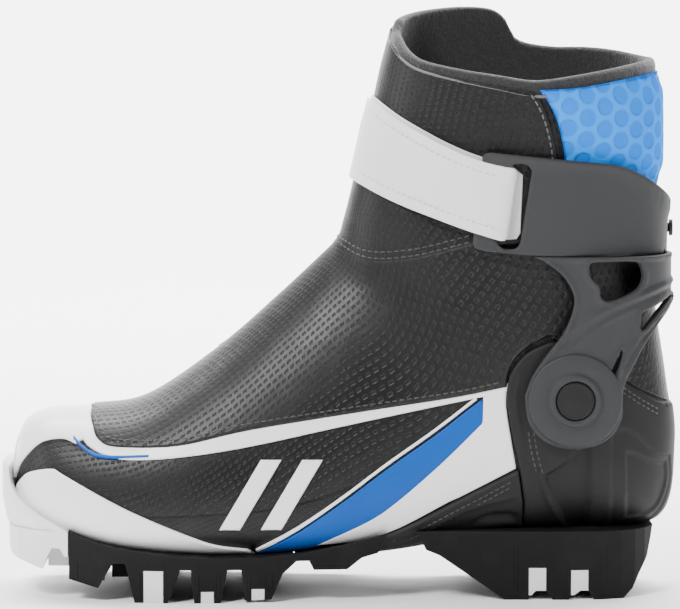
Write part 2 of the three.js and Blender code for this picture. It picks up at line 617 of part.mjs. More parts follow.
function makeBand() {
  const bandOutline = outline([58.5, 154], [64, bandTop],
    [[71, bandTop - 0.4], [115, bandTop - 4], [138, 179], [147.5, 167.5]], [170, 166], [170, 151],
    [[144, 151], [130, 152.5], [88, 151], [63, 151]]);
  const slotShape = slanted(0, SLOT_WIDTH, ...slotEnds);
  const barZone = slanted(-40, 1, 140, 260);
  let band = layer(bandInner, bandOuter).intersect(through(bandOutline));
  band = band.subtract(through(slotShape, ...reach(-1)));
  band = band.subtract(layer(bandInner + BAR_WALL, bandOuter + 4).intersect(through(barZone)));
  add("band", band.subtract(screwHole).subtract(rivetHole), "moulded");
  const screwHead = backScrew(SCREW_HEAD_RADIUS, bandBack + 0.2, bandBack + 1.6);
  add("band_screw", backScrew(SCREW_RADIUS, screwEnd, bandBack + 0.6).add(screwHead), "steel");
}

function makeCollar() {
  const frontEdge = outline([-250, 100], [-250, 320], [83, 320], [83, 226],
    [[88.5, 215], [92.5, 203], [94.5, 190]], [97, 100]);
  const collar = collarSide.intersect(underTop);
  const collarSkin = layer(FIT_GAP, FIT_GAP + COLLAR_SKIN);
  add("collar_front", collarSkin.intersect(collar).intersect(through(frontEdge)), "softshell");
  const foam = (p) => {
    const open = smooth(183, 200, p.z / UPWARDS + (p.x / LENGTHWAYS - 115) * 0.3);
    return FIT_GAP + SQUEEZED_FOAM + (COLLAR_FOAM - SQUEEZED_FOAM) * open;
  };
  const padBody = last(foam).subtract(last(FIT_GAP)).intersect(collar);
  const pad = padBody.subtract(through(grown(frontEdge, FIT_GAP)));
  add("collar_pad", pad, "blue_foam");
}

// ---------------------------------------------------------------- strap
// The lower layer comes from the medial bar round the shin, goes out through the slot and turns back.
const strapEdge = [[-14, 199.5], [12, 183], [30, 172.5], [50, 163.5], [77, 155.9], [98, 151.5]];
const strapLine = strapEdge.map(([x, z]) => [x, z + strapTall / 2]);
const strapShape = through(ribbon(STRAP_WIDTH, strapLine));
const strapInner = FIT_GAP + COLLAR_SKIN + FIT_GAP;
const rise = (p, side, by) => (p.y * side > 0 ? by * smooth(26, 46, p.x / LENGTHWAYS) : 0);
const REST_GAP = 0.3; // between the lower layer and the band it is riveted to
const medialRise = bandInner - REST_GAP - STRAP_THICKNESS - strapInner;
const underLayer = (extra) => last((p) => strapInner + extra + rise(p, 1, medialRise));
const behindStrap = through(slanted(3.4, 120, 100, 300), ...reach(-1));
const flapInner = bandInner + BAR_WALL + FIT_GAP;

function makeStrapBase() {
  const endOfBase = through(outline([72, 100], [72, 300], [200, 300], [200, 100]), ...reach(1));
  let base = underLayer(STRAP_THICKNESS).subtract(underLayer(0)).intersect(strapShape);
  const turnZone = slanted(1.8, 3.4, 140, 260);
  const turn = layer(strapInner + 0.2, flapInner - FIT_GAP).intersect(strapShape);
  base = base.add(turn.intersect(through(turnZone, ...reach(-1))));
  add("strap_base", base.subtract(behindStrap).subtract(endOfBase).subtract(rivetHole), "white_film");
}

function makeStrapRivet() {
  const foot = girth.getPoint(0.85).x * SIDEWAYS;
  const barFace = foot + bandInner + BAR_WALL;
  const shaftFrom = foot + bandInner - FIT_GAP - STRAP_THICKNESS - 0.8;
  const head = pin(rivetPlace, SCREW_HEAD_RADIUS, barFace + 0.5, barFace + 1.6, 20);
  const rivet = pin(rivetPlace, SCREW_RADIUS, shaftFrom, barFace + 1, 16).add(head);
  add("strap_rivet", rivet, "steel");
}

function makeStrapFlap() {
  const overStrap = strapInner + STRAP_THICKNESS + FIT_GAP;
  const upper = (extra) => last((p) => overStrap + extra + rise(p, -1, flapInner - overStrap));
  const flapEnd = box([-WIDE * 2, -WIDE, 0], [WIDE, 14 * SIDEWAYS, BOOT_HEIGHT + 50]);
  const flap = upper(STRAP_THICKNESS).subtract(upper(0)).intersect(strapShape).intersect(flapEnd);
  add("strap_flap", flap.subtract(behindStrap), "white_film");
}

// ---------------------------------------------------------------- the whole boot
makeInnerBoot();
makeHeelCounter();
makeShank();
makeHeelPanel();
makeWhiteFilm();
makeBlueStripes();
makeMarks();
makeLaceCover();
makeZip();
makeBindingBars();
makeSoles();
makeToeBumper();
makeCuff();
makeAnklePins();
makeBand();
makeCollar();
makeStrapBase();
makeStrapRivet();
makeStrapFlap();

export default boot;
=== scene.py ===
"""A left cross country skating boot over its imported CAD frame. Metres, toe at -X, outer side at -Y."""
import json
import math

import bpy
import numpy as np
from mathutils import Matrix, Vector, kdtree
from mathutils.geometry import delaunay_2d_cdt


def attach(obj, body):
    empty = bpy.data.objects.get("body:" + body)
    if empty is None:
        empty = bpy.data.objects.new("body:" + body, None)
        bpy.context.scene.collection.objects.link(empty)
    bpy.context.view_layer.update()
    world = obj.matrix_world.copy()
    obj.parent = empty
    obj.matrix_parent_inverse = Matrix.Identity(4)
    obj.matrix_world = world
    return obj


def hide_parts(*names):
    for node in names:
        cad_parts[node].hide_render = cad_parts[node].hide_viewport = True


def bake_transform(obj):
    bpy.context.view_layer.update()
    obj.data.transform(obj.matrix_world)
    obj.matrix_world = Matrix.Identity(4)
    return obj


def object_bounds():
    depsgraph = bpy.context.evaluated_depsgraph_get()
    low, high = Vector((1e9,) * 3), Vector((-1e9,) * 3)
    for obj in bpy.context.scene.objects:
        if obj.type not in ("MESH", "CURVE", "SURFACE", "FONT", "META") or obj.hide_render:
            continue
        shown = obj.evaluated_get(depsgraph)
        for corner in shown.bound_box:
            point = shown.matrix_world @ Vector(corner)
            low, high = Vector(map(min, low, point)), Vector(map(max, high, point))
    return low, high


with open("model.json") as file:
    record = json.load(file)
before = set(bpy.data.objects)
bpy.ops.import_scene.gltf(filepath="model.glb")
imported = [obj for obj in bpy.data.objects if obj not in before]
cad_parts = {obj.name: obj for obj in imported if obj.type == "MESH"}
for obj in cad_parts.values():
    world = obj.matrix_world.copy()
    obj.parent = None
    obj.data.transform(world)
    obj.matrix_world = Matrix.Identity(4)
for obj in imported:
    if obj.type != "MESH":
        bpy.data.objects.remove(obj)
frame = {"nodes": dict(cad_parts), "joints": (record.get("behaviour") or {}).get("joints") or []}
CAD_BOX = [list(corner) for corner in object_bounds()]
SCENE = bpy.context.scene
MM = 0.001

# Scale of this frame against the size 42 last that the outlines below are drawn on.
LENGTH, WIDTH, HEIGHT = (
    (high - low) / size for low, high, size in zip(*CAD_BOX, (0.2984, 0.0970, 0.2578))
)
ANKLE = Vector((0.1025 * LENGTH, 0, 0.088 * HEIGHT))

# ------------------------------------------------------------------ the last
# crown x, z, keel x, z, half width, height of the widest place, fullness above and below it, sideways shift
SECTIONS = np.array([
    [-143.5, 62, -144, 44, 9, 0.5, 2.0, 2.0, 4],
    [-139, 74, -141, 32, 21, 0.42, 2.2, 2.4, 3.6],
    [-128, 79.5, -131, 26, 32.5, 0.36, 2.3, 2.8, 3],
    [-108, 80.5, -112, 22, 40.5, 0.32, 2.3, 3.0, 2],
    [-85, 85, -88, 19, 44, 0.28, 2.1, 3.2, 1],
    [-54, 106, -55, 17.5, 44.5, 0.24, 1.85, 3.2, 0],
    [-28, 128.5, -20, 18, 42, 0.22, 1.8, 3.2, -1],
    [-8, 147, 20, 21, 39, 0.26, 1.85, 3.0, -1],
    [0, 155, 62, 27, 37, 0.34, 2.0, 2.8, -0.5],
    [3, 163, 105, 30, 36.5, 0.42, 2.2, 2.8, 0],
    [5.5, 172, 140.5, 35.5, 36.5, 0.46, 2.4, 2.7, 0],
    [8, 182, 147, 68, 36, 0.47, 2.4, 2.5, 0],
    [10.5, 192, 144, 97, 35.5, 0.48, 2.3, 2.4, 0],
    [13, 203, 139, 130, 36, 0.49, 2.2, 2.3, 0],
    [16.5, 216, 138, 160, 37, 0.5, 2.2, 2.2, 0],
    [20, 232, 139.5, 195, 38.5, 0.5, 2.2, 2.2, 0],
    [24, 247, 139, 229, 39.5, 0.5, 2.2, 2.2, 0],
    [28, 263, 139, 252, 40, 0.5, 2.2, 2.2, 0],
])
SPANS = len(SECTIONS) - 1
NOSE = 0.2
STEP_U, STEP_V = 15.0 * SPANS, 38.0  # millimetres per unit of u and per radian
CROWN, KEEL = math.pi / 2, -math.pi / 2


def spline(rows, share):
    """Catmull-Rom curve through rows, at shares from 0 to 1."""
    rows = np.asarray(rows, float)
    last_row = len(rows) - 1
    place = np.clip(share, 0, 1) * last_row
    i = np.minimum(place.astype(int), last_row - 1)
    t = (place - i)[:, None]
    a, b = rows[np.maximum(i - 1, 0)], rows[i]
    c, d = rows[i + 1], rows[np.minimum(i + 2, last_row)]
    v0, v1 = (c - a) / 2, (d - b) / 2
    return ((2 * b - 2 * c + v0 + v1) * t - 3 * b + 3 * c - 2 * v0 - v1) * t * t + v0 * t + b


def smooth(low, high, value):
    t = np.clip((value - low) / (high - low), 0, 1)
    return t * t * (3 - 2 * t)


def section(u):
    s = spline(SECTIONS, u)
    scale = np.array([LENGTH, HEIGHT])
    top, bottom = s[:, 0:2] * scale, s[:, 2:4] * scale
    height = np.linalg.norm(top - bottom, axis=1)
    return bottom, (top - bottom) / height[:, None], height, s[:, 4], s[:, 5], s[:, 6], s[:, 7], s[:, 8]


def on_last(flat, grow):
    """Points in metres for flat (u, angle) places in millimetres, grown outwards by grow mm."""
    flat = np.asarray(flat, float)
    u, angle = flat[:, 0] / STEP_U, flat[:, 1] / STEP_V
    grow = np.broadcast_to(grow, u.shape)
    bottom, along, height, half, widest, full_up, full_low, shift = section(u)
    c, v = np.cos(angle), np.sin(angle)
    e = np.where(v > 0, full_up, full_low)
    r = (np.abs(c) ** e + np.abs(v) ** e) ** (-1 / e)
    reach = np.where(v > 0, 1 - widest, widest) * height + grow
    rise = widest * height + v * r * reach
    y = (shift - c * r * (half + grow / WIDTH)) * WIDTH
    x = bottom[:, 0] + along[:, 0] * rise - grow * (1 - smooth(0, NOSE, u))
    return np.stack([x, y, bottom[:, 1] + along[:, 1] * rise], 1) * MM


TABLE_U = np.linspace(0, 1, 400)
TABLE = section(TABLE_U)


def quarter_lengths():
    """Length along the boot up to each section, and round a quarter of it, in mm."""
    turns = np.linspace(0, CROWN, 24)
    flat = np.array([[u * STEP_U, turn * STEP_V] for u in TABLE_U for turn in turns])
    points = on_last(flat, 0.0).reshape(len(TABLE_U), 24, 3) / MM
    along = np.linalg.norm(np.diff(points[:, 12], axis=0), axis=1)
    around = np.linalg.norm(np.diff(points, axis=1), axis=2).sum(1)
    return np.concatenate([[0], np.cumsum(along)]), around


LENGTH_AT, QUARTER_AT = quarter_lengths()


def cloth_place(flat):
    """Flat places measured along the cloth, for weaves and cells of an even size."""
    u = flat[:, 0] / STEP_U
    turn = (flat[:, 1] / STEP_V - CROWN) / CROWN
    return np.stack([np.interp(u, TABLE_U, LENGTH_AT), turn * np.interp(u, TABLE_U, QUARTER_AT)], 1)


def flat_from_side(points, side=-1):
    """Flat (u, angle) places of points drawn in the side view, in millimetres on the size 42 last."""
    p = np.asarray(points, float) * [LENGTH, HEIGHT]
    bottom, along = TABLE[0], TABLE[1]
    gap = p[:, None, :] - bottom[None]
    cross = along[None, :, 0] * gap[..., 1] - along[None, :, 1] * gap[..., 0]
    flips = (cross[:, :-1] * cross[:, 1:]) <= 0
    i = np.where(flips.any(1), flips.argmax(1), np.abs(cross[:, :-1]).argmin(1))
    rows = np.arange(len(p))
    a, b = cross[rows, i], cross[rows, i + 1]
    t = np.clip(a / np.where(np.abs(a - b) < 1e-9, 1, a - b), 0, 1)
    u = TABLE_U[i] + t * (TABLE_U[1] - TABLE_U[0])
    bottom, along, height, _, widest, full_up, full_low, _ = section(u)
    rise = ((p - bottom) * along).sum(1) - widest * height
    share = np.clip(rise / np.where(rise > 0, (1 - widest) * height, widest * height), -1, 1)
    e = np.where(share > 0, full_up, full_low)
    angle = np.arctan2(share, (1 - np.abs(share) ** e) ** (1 / e))
    if side > 0:
        angle = np.where(angle > -CROWN, math.pi - angle, angle)
    return np.stack([u * STEP_U, angle * STEP_V], 1)


# ------------------------------------------------------------------ outlines
def run(points, step=1.2):
    """A smooth line through points, sampled about every step mm."""
    points = np.asarray(points, float)
    long = np.linalg.norm(np.diff(points, axis=0), axis=1).sum()
    fine = spline(points, np.linspace(0, 1, max(8, 8 * len(points))))
    length = np.concatenate([[0], np.cumsum(np.linalg.norm(np.diff(fine, axis=0), axis=1))])
    marks = np.linspace(0, length[-1], max(2, int(long / step) + 1))
    return np.stack([np.interp(marks, length, fine[:, k]) for k in range(fine.shape[1])], 1)


def outline(*moves, closed=False):
    """A line of corners (pairs) and smooth runs (lists of pairs, from the point before them)."""
    runs = [move if hasattr(move[0], "__len__") else [move] for move in moves]
    if closed:
        runs.append([runs[0][0]])
    path = [list(p) for p in (run(runs[0]) if len(runs[0]) > 1 else runs[0])]
    for points in runs[1:]:
        path += [list(p) for p in run([path[-1]] + [list(p) for p in points])[1:]]
    return np.array(path[:-1] if closed else path)


def patch(*moves, side=-1):
    """A closed patch on one side of the boot."""
    return flat_from_side(outline(*moves, closed=True), side)


def wrap(lateral, medial=None, over=CROWN):
    """A closed patch over the crown or the keel, between its outer and inner edge lines."""
    near = flat_from_side(lateral)
    near[[0, -1], 1] = over * STEP_V
    far = flat_from_side(lateral if medial is None else medial)
    far[:, 1] = 2 * over * STEP_V - far[:, 1]
    far[[0, -1], 1] = over * STEP_V
    return np.concatenate([near, far[-2:0:-1]])


def thin_out(loop, least=0.35):
    keep = [loop[0]]
    for p in loop[1:]:
        if np.linalg.norm(p - keep[-1]) > least:
            keep.append(p)
    if np.linalg.norm(keep[-1] - keep[0]) < least:
        keep.pop()
    return np.array(keep)


def inside(points, loop):
    x, y = points[:, 0][:, None], points[:, 1][:, None]
    a, b = loop, np.roll(loop, -1, 0)
    spans = (a[:, 1] > y) != (b[:, 1] > y)
    with np.errstate(divide="ignore", invalid="ignore"):
        cut = (b[:, 0] - a[:, 0]) * (y - a[:, 1]) / (b[:, 1] - a[:, 1]) + a[:, 0]
    return (spans & (x < cut)).sum(1) % 2 == 1


def nearest(points, targets):
    out = np.empty(len(points))
    tree = kdtree.KDTree(len(targets))
    for i, p in enumerate(targets):
        tree.insert(p, i)
    tree.balance()
    for i, p in enumerate(points):
        out[i] = tree.find(p)[2]
    return out


def fill(loops, step, insets):
    """Triangles inside the first loop and outside the others: flat points and triangles."""
    loops = [thin_out(loop) for loop in loops]
    ring = np.concatenate([np.column_stack([loop, np.zeros(len(loop))]) for loop in loops])
    low, high = loops[0].min(0), loops[0].max(0)
    xs, ys = np.arange(low[0], high[0], step), np.arange(low[1], high[1], step * 0.87)
    grid = np.array([[x + (j % 2) * step / 2, y] for j, y in enumerate(ys) for x in xs])
    extra, clear = [], []
    for depth in insets:
        for loop in loops:
            way = np.roll(loop, -1, 0) - np.roll(loop, 1, 0)
            way /= np.maximum(np.linalg.norm(way, axis=1), 1e-9)[:, None]
            for sign in (-1, 1):
                extra.append(loop + sign * depth * np.stack([way[:, 1], -way[:, 0]], 1))
                clear.append(np.full(len(loop), depth * 0.93))
    extra.append(grid)
    clear.append(np.full(len(grid), max(insets, default=0) + step * 0.45))
    extra, clear = np.concatenate(extra), np.concatenate(clear)
    keep = inside(extra, loops[0])
    for hole in loops[1:]:
        keep &= ~inside(extra, hole)
    extra, clear = extra[keep], clear[keep]
    gap = nearest(np.column_stack([extra, np.zeros(len(extra))]), ring)
    extra = extra[gap > clear]
    points, edges = [], []
    for loop in loops:
        first, count = len(points), len(loop)
        points += [Vector(p) for p in loop]
        edges += [(first + i, first + (i + 1) % count) for i in range(count)]
    points += [Vector(p) for p in extra]
    flat, _, faces, *_ = delaunay_2d_cdt(points, edges, [], 2, 1e-5)
    flat, faces = np.array([p[:] for p in flat]), np.array([tuple(f) for f in faces])
    centres = flat[faces].mean(1)
    keep = inside(centres, loops[0])
    for hole in loops[1:]:
        keep &= ~inside(centres, hole)
    return flat, [tuple(f) for f in faces[keep].tolist()]


# ------------------------------------------------------------------ meshes
def quads(a, b, sides):
    """Faces between two closed rings of points, which start at a and at b."""
    return [(a + k, a + (k + 1) % sides, b + (k + 1) % sides, b + k) for k in range(sides)]


def spindle(first, rings, sides):
    """Faces of a closed body made of rings of points from first on."""
    last = first + (rings - 1) * sides
    faces = [q for a in range(first, last, sides) for q in quads(a, a + sides, sides)]
    return faces + [tuple(range(first, first + sides))[::-1], tuple(range(last, last + sides))]


def mesh_object(name, points, faces, flat=None):
    mesh = bpy.data.meshes.new(name)
    mesh.from_pydata([tuple(p) for p in points], [], faces)
    if flat is not None:
        layer = mesh.uv_layers.new(name="UVMap")
        index = np.empty(len(mesh.loops), int)
        mesh.loops.foreach_get("vertex_index", index)
        layer.data.foreach_set("uv", (np.asarray(flat)[index] * MM).ravel())
    mesh.validate()
    mesh.shade_smooth()
    piece = bpy.data.objects.new(name, mesh)
    SCENE.collection.objects.link(piece)
    return piece


def plate(name, loops, low, high, edge=0.5, step=3.0, both=False, surface=on_last, shape=None,
          cloth=cloth_place):
    """A sheet on a surface, from low to high mm outside it, with rounded edges edge mm deep."""
    rounds = (0.16 * edge, 0.5 * edge, edge)
    flat, faces = fill(loops, step, rounds)
    sides = dict.fromkeys(pair for f in faces for pair in zip(f, f[1:] + f[:1]))
    border = [(a, b) for a, b in sides if (b, a) not in sides]
    rim = sorted({a for pair in border for a in pair})
    middle = surface(flat, np.full(len(flat), (low + high) / 2))
    gap = nearest(middle, middle[rim]) / MM
    k = np.clip(gap / edge, 0, 1)
    lift = edge * (1 - np.sqrt(np.clip(1 - (1 - k) ** 2, 0, 1)))
    top = high - lift
    bottom = low + (lift if both else 0 * lift)
    if shape is not None:
        add_top, add_bottom = shape(middle / MM, gap)
        top, bottom = top + add_top, bottom + add_bottom
    upper, lower = surface(flat, top), surface(flat, bottom)
    first, *others = faces[len(faces) // 2]
    turned = np.cross(*(middle[others] - middle[first]))
    if np.dot(turned, upper[first] - lower[first]) < 0:
        faces = [f[::-1] for f in faces]
        border = [(b, a) for a, b in border]
    n = len(flat)
    flat = cloth(flat) if surface is on_last else flat
    if both:
        under = [tuple(i + n for i in f[::-1]) for f in faces]
        walls = [(b, a, a + n, b + n) for a, b in border]
        points = np.concatenate([upper, lower])
        return mesh_object(name, points, faces + under + walls, np.concatenate([flat, flat]))
    place = {v: n + i for i, v in enumerate(rim)}
    points = np.concatenate([upper, lower[rim]])
    walls = [(b, a, place[a], place[b]) for a, b in border]
    return mesh_object(name, points, faces + walls, np.concatenate([flat, flat[rim]]))


def tube(name, path, radius, sides=8):
    """A round cord along a closed line of points in metres."""
    path = [Vector(p) for p in path]
    points, faces = [], []
    up = Vector((0, 0, 1))
    for i, p in enumerate(path):
        after = (i + 1) % len(path)
        way = (path[after] - path[i - 1]).normalized()
        side = way.cross(up)
        side = side.normalized() if side.length > 1e-4 else Vector((0, 1, 0))
        up = side.cross(way).normalized()
        faces += quads(i * sides, after * sides, sides)
        for k in range(sides):
            turn = 2 * math.pi * k / sides
            points.append(p + (side * math.cos(turn) + up * math.sin(turn)) * radius)
    return mesh_object(name, points, faces)


def stitches(name, flat, height, surface=on_last, pitch=3.2, size=2.3, radius=0.32, sink=0.1):
    """A row of thread stitches along a flat line, height mm outside the surface."""
    fine = surface(flat, np.full(len(flat), float(height)))
    out = surface(flat, np.full(len(flat), float(height) + 1)) - fine
    out /= np.linalg.norm(out, axis=1)[:, None]
    length = np.concatenate([[0], np.cumsum(np.linalg.norm(np.diff(fine, axis=0), axis=1))]) / MM
    points, faces = [], []
    sides, ends = 6, ((-0.5, 0.25), (-0.42, 0.75), (-0.2, 1.0), (0.2, 1.0), (0.42, 0.75), (0.5, 0.25))
    at = lambda values, d: Vector([np.interp(d, length, values[:, k]) for k in range(3)])
    for start in np.arange(pitch / 2, length[-1] - size, pitch):
        a, b = at(fine, start), at(fine, start + size)
        normal = at(out, start + size / 2).normalized()
        way = (b - a).normalized()
        side = way.cross(normal).normalized()
        middle = (a + b) / 2
        faces += spindle(len(points), len(ends), sides)
        for along, wide in ends:
            arch = (1 - (2 * along) ** 2) * radius * 0.7 - sink
            centre = middle + way * along * size * MM + normal * arch * MM
            for k in range(sides):
                turn = 2 * math.pi * k / sides
                out_here = side * math.cos(turn) + normal * math.sin(turn)
                points.append(centre + out_here * radius * wide * MM)
    return mesh_object(name, points, faces)


def lathe(name, profile, centre, side=-1, segments=72):
    """A round piece on an axis across the boot: profile rows are radius and distance from the middle, mm."""
    points, faces = [], []
    for radius, y in profile:
        for k in range(segments):
            turn, r = 2 * math.pi * k / segments, radius * MM
            points.append((centre.x + r * math.cos(turn), side * y * MM, centre.z + r * math.sin(turn)))
    for a in range(0, (len(profile) - 1) * segments, segments):
        ring = [(a, d, c, b) for a, b, c, d in quads(a, a + segments, segments)]
        faces += ring if side < 0 else [q[::-1] for q in ring]
    last_ring = tuple(range((len(profile) - 1) * segments, len(profile) * segments))
    faces.append(last_ring if side > 0 else last_ring[::-1])
    return mesh_object(name, points, faces)


# ------------------------------------------------------------------ materials
class Look:
    """A node material built up from a Principled shader."""

    def __init__(self, name, color, roughness, metallic=0.0, **inputs):
        self.material = bpy.data.materials.new(name)
        self.material.use_nodes = True
        self.material.diffuse_color = (*color, 1)
        self.tree = self.material.node_tree
        self.shader = self.tree.nodes["Principled BSDF"]
        self.roughness = roughness
        self.shader.inputs["Base Color"].default_value = (*color, 1)
        self.shader.inputs["Roughness"].default_value = roughness
        self.shader.inputs["Metallic"].default_value = metallic
        for key, value in inputs.items():
            self.shader.inputs[key.replace("_", " ")].default_value = value
        coords = self.node("ShaderNodeTexCoord")
        self.object, self.uv = coords.outputs["Object"], coords.outputs["UV"]

    def node(self, kind, **settings):
        made = self.tree.nodes.new(kind)
        for key, value in settings.items():
            setattr(made, key, value)
        return made

    def link(self, a, b):
        self.tree.links.new(a, b)

    def math(self, operation, a, b=None, clamp=False):
        made = self.node("ShaderNodeMath", operation=operation, use_clamp=clamp)
        for i, value in enumerate(v for v in (a, b) if v is not None):
            if isinstance(value, (int, float)):
                made.inputs[i].default_value = value
            else:
                self.link(value, made.inputs[i])
        return made.outputs[0]

    def ramp(self, value, low, high, to_low=0.0, to_high=1.0):
        made = self.node("ShaderNodeMapRange")
        self.link(value, made.inputs["Value"])
        for key, number in zip(("From Min", "From Max", "To Min", "To Max"), (low, high, to_low, to_high)):
            made.inputs[key].default_value = number
        return made.outputs["Result"]

    def noise(self, per_metre, detail=3.0, roughness=0.55, vector=None, stretch=(1, 1, 1)):
        mapping = self.node("ShaderNodeMapping")
        self.link(vector or self.object, mapping.inputs["Vector"])
        mapping.inputs["Scale"].default_value = stretch
        made = self.node("ShaderNodeTexNoise")
        self.link(mapping.outputs["Vector"], made.inputs["Vector"])
        made.inputs["Scale"].default_value = per_metre
        made.inputs["Detail"].default_value = detail
        made.inputs["Roughness"].default_value = roughness
        return made.outputs["Fac"]

    def tint(self, factor, color, amount=1.0):
        """Mixes the colour so far towards another where factor is 1."""
        mix = self.node("ShaderNodeMix", data_type="RGBA")
        socket = self.shader.inputs["Base Color"]
        if socket.links:
            self.link(socket.links[0].from_socket, mix.inputs["A"])
        else:
            mix.inputs["A"].default_value = socket.default_value
        mix.inputs["B"].default_value = (*color, 1)
        self.link(self.math("MULTIPLY", factor, amount), mix.inputs["Factor"])
        self.link(mix.outputs["Result"], socket)
        return self

    def rough(self, factor, change):
        """Adds change to the roughness where factor is 1."""
        socket = self.shader.inputs["Roughness"]
        base = socket.links[0].from_socket if socket.links else self.roughness
        self.link(self.math("ADD", self.math("MULTIPLY", factor, change), base, clamp=True), socket)
        return self

    def bump(self, value, millimetres):
        made = self.node("ShaderNodeBump")
        made.inputs["Distance"].default_value = millimetres * MM
        made.inputs["Strength"].default_value = 1.0
        self.link(value, made.inputs["Height"])
        socket = self.shader.inputs["Normal"]
        if socket.links:
            self.link(socket.links[0].from_socket, made.inputs["Normal"])
        self.link(made.outputs["Normal"], socket)
        return self

    def soften(self, millimetres):
        """Rounds hard edges in the shading; comes before any bump."""
        made = self.node("ShaderNodeBevel", samples=6)
        made.inputs["Radius"].default_value = millimetres * MM
        self.link(made.outputs["Normal"], self.shader.inputs["Normal"])
        return self

    def painted_edge_highlight(self, color, amount, width=0.6):
        """Painted highlight: lighter edges, from where a rounded normal leaves the true one."""
        bevel = self.node("ShaderNodeBevel", samples=6)
        bevel.inputs["Radius"].default_value = width * MM
        geometry = self.node("ShaderNodeNewGeometry")
        dot = self.node("ShaderNodeVectorMath", operation="DOT_PRODUCT")
        self.link(bevel.outputs["Normal"], dot.inputs[0])
        self.link(geometry.outputs["Normal"], dot.inputs[1])
        return self.tint(self.ramp(dot.outputs["Value"], 0.98, 0.7), color, amount)

    def painted_crevice_shade(self, color, reach, amount):
        """Painted shade: darker where the surface turns inwards within reach mm."""
        shade = self.node("ShaderNodeAmbientOcclusion", samples=8, only_local=True)
        shade.inputs["Distance"].default_value = reach * MM
        return self.tint(self.ramp(shade.outputs["AO"], 0.95, 0.45), color, amount)

    def dashes(self, across, along):
        """Columns of dashes from the flat coordinates, every second column half a dash further on."""
        split = self.node("ShaderNodeSeparateXYZ")
        self.link(self.uv, split.inputs["Vector"])
        column = self.math("MULTIPLY", split.outputs["Y"], 1000.0 / across)
        odd = self.math("FRACT", self.math("MULTIPLY", self.math("FLOOR", column), 0.5))
        row = self.math("ADD", self.math("MULTIPLY", split.outputs["X"], 1000.0 / along), odd)
        away_across = self.math("ABSOLUTE", self.math("SUBTRACT", self.math("FRACT", column), 0.5))
        away_along = self.math("ABSOLUTE", self.math("SUBTRACT", self.math("FRACT", row), 0.5))
        return self.math("MULTIPLY", self.ramp(away_across, 0.24, 0.14), self.ramp(away_along, 0.34, 0.24))

    def hexagons(self, pitch):
        """Distance from the middle of the nearest cell of a honeycomb, over half its pitch."""
        split = self.node("ShaderNodeSeparateXYZ")
        self.link(self.uv, split.inputs["Vector"])
        found = None
        for offset in (0.0, 0.5):
            squares = []
            for axis, size in (("X", pitch), ("Y", pitch * math.sqrt(3))):
                part = self.math("ADD", self.math("MULTIPLY", split.outputs[axis], 1000.0 / size), offset)
                away = self.math("SUBTRACT", self.math("FRACT", part), 0.5)
                away = self.math("MULTIPLY", away, 2 * size / pitch)
                squares.append(self.math("MULTIPLY", away, away))
            distance = self.math("SQRT", self.math("ADD", *squares))
            found = distance if found is None else self.math("MINIMUM", found, distance)
        return found


def make_softshell(name, along, across, shine):
    """Coated cloth with columns of little pressed dashes."""
    look = Look(name, (0.0035, 0.0035, 0.0038), 0.37, Specular_IOR_Level=0.36)
    dashes, cloud = look.dashes(across, along), look.noise(22, 4)
    look.tint(look.ramp(cloud, 0.45, 0.75), (0.008, 0.008, 0.0085), 0.5)
    look.tint(dashes, (0.0008, 0.0008, 0.0008), 0.85)
    look.rough(dashes, shine).rough(look.ramp(cloud, 0.3, 0.7), 0.1)
    look.bump(look.noise(130, 3), 0.25).bump(dashes, -0.16).bump(look.noise(2600, 2), 0.03)
    return look.material


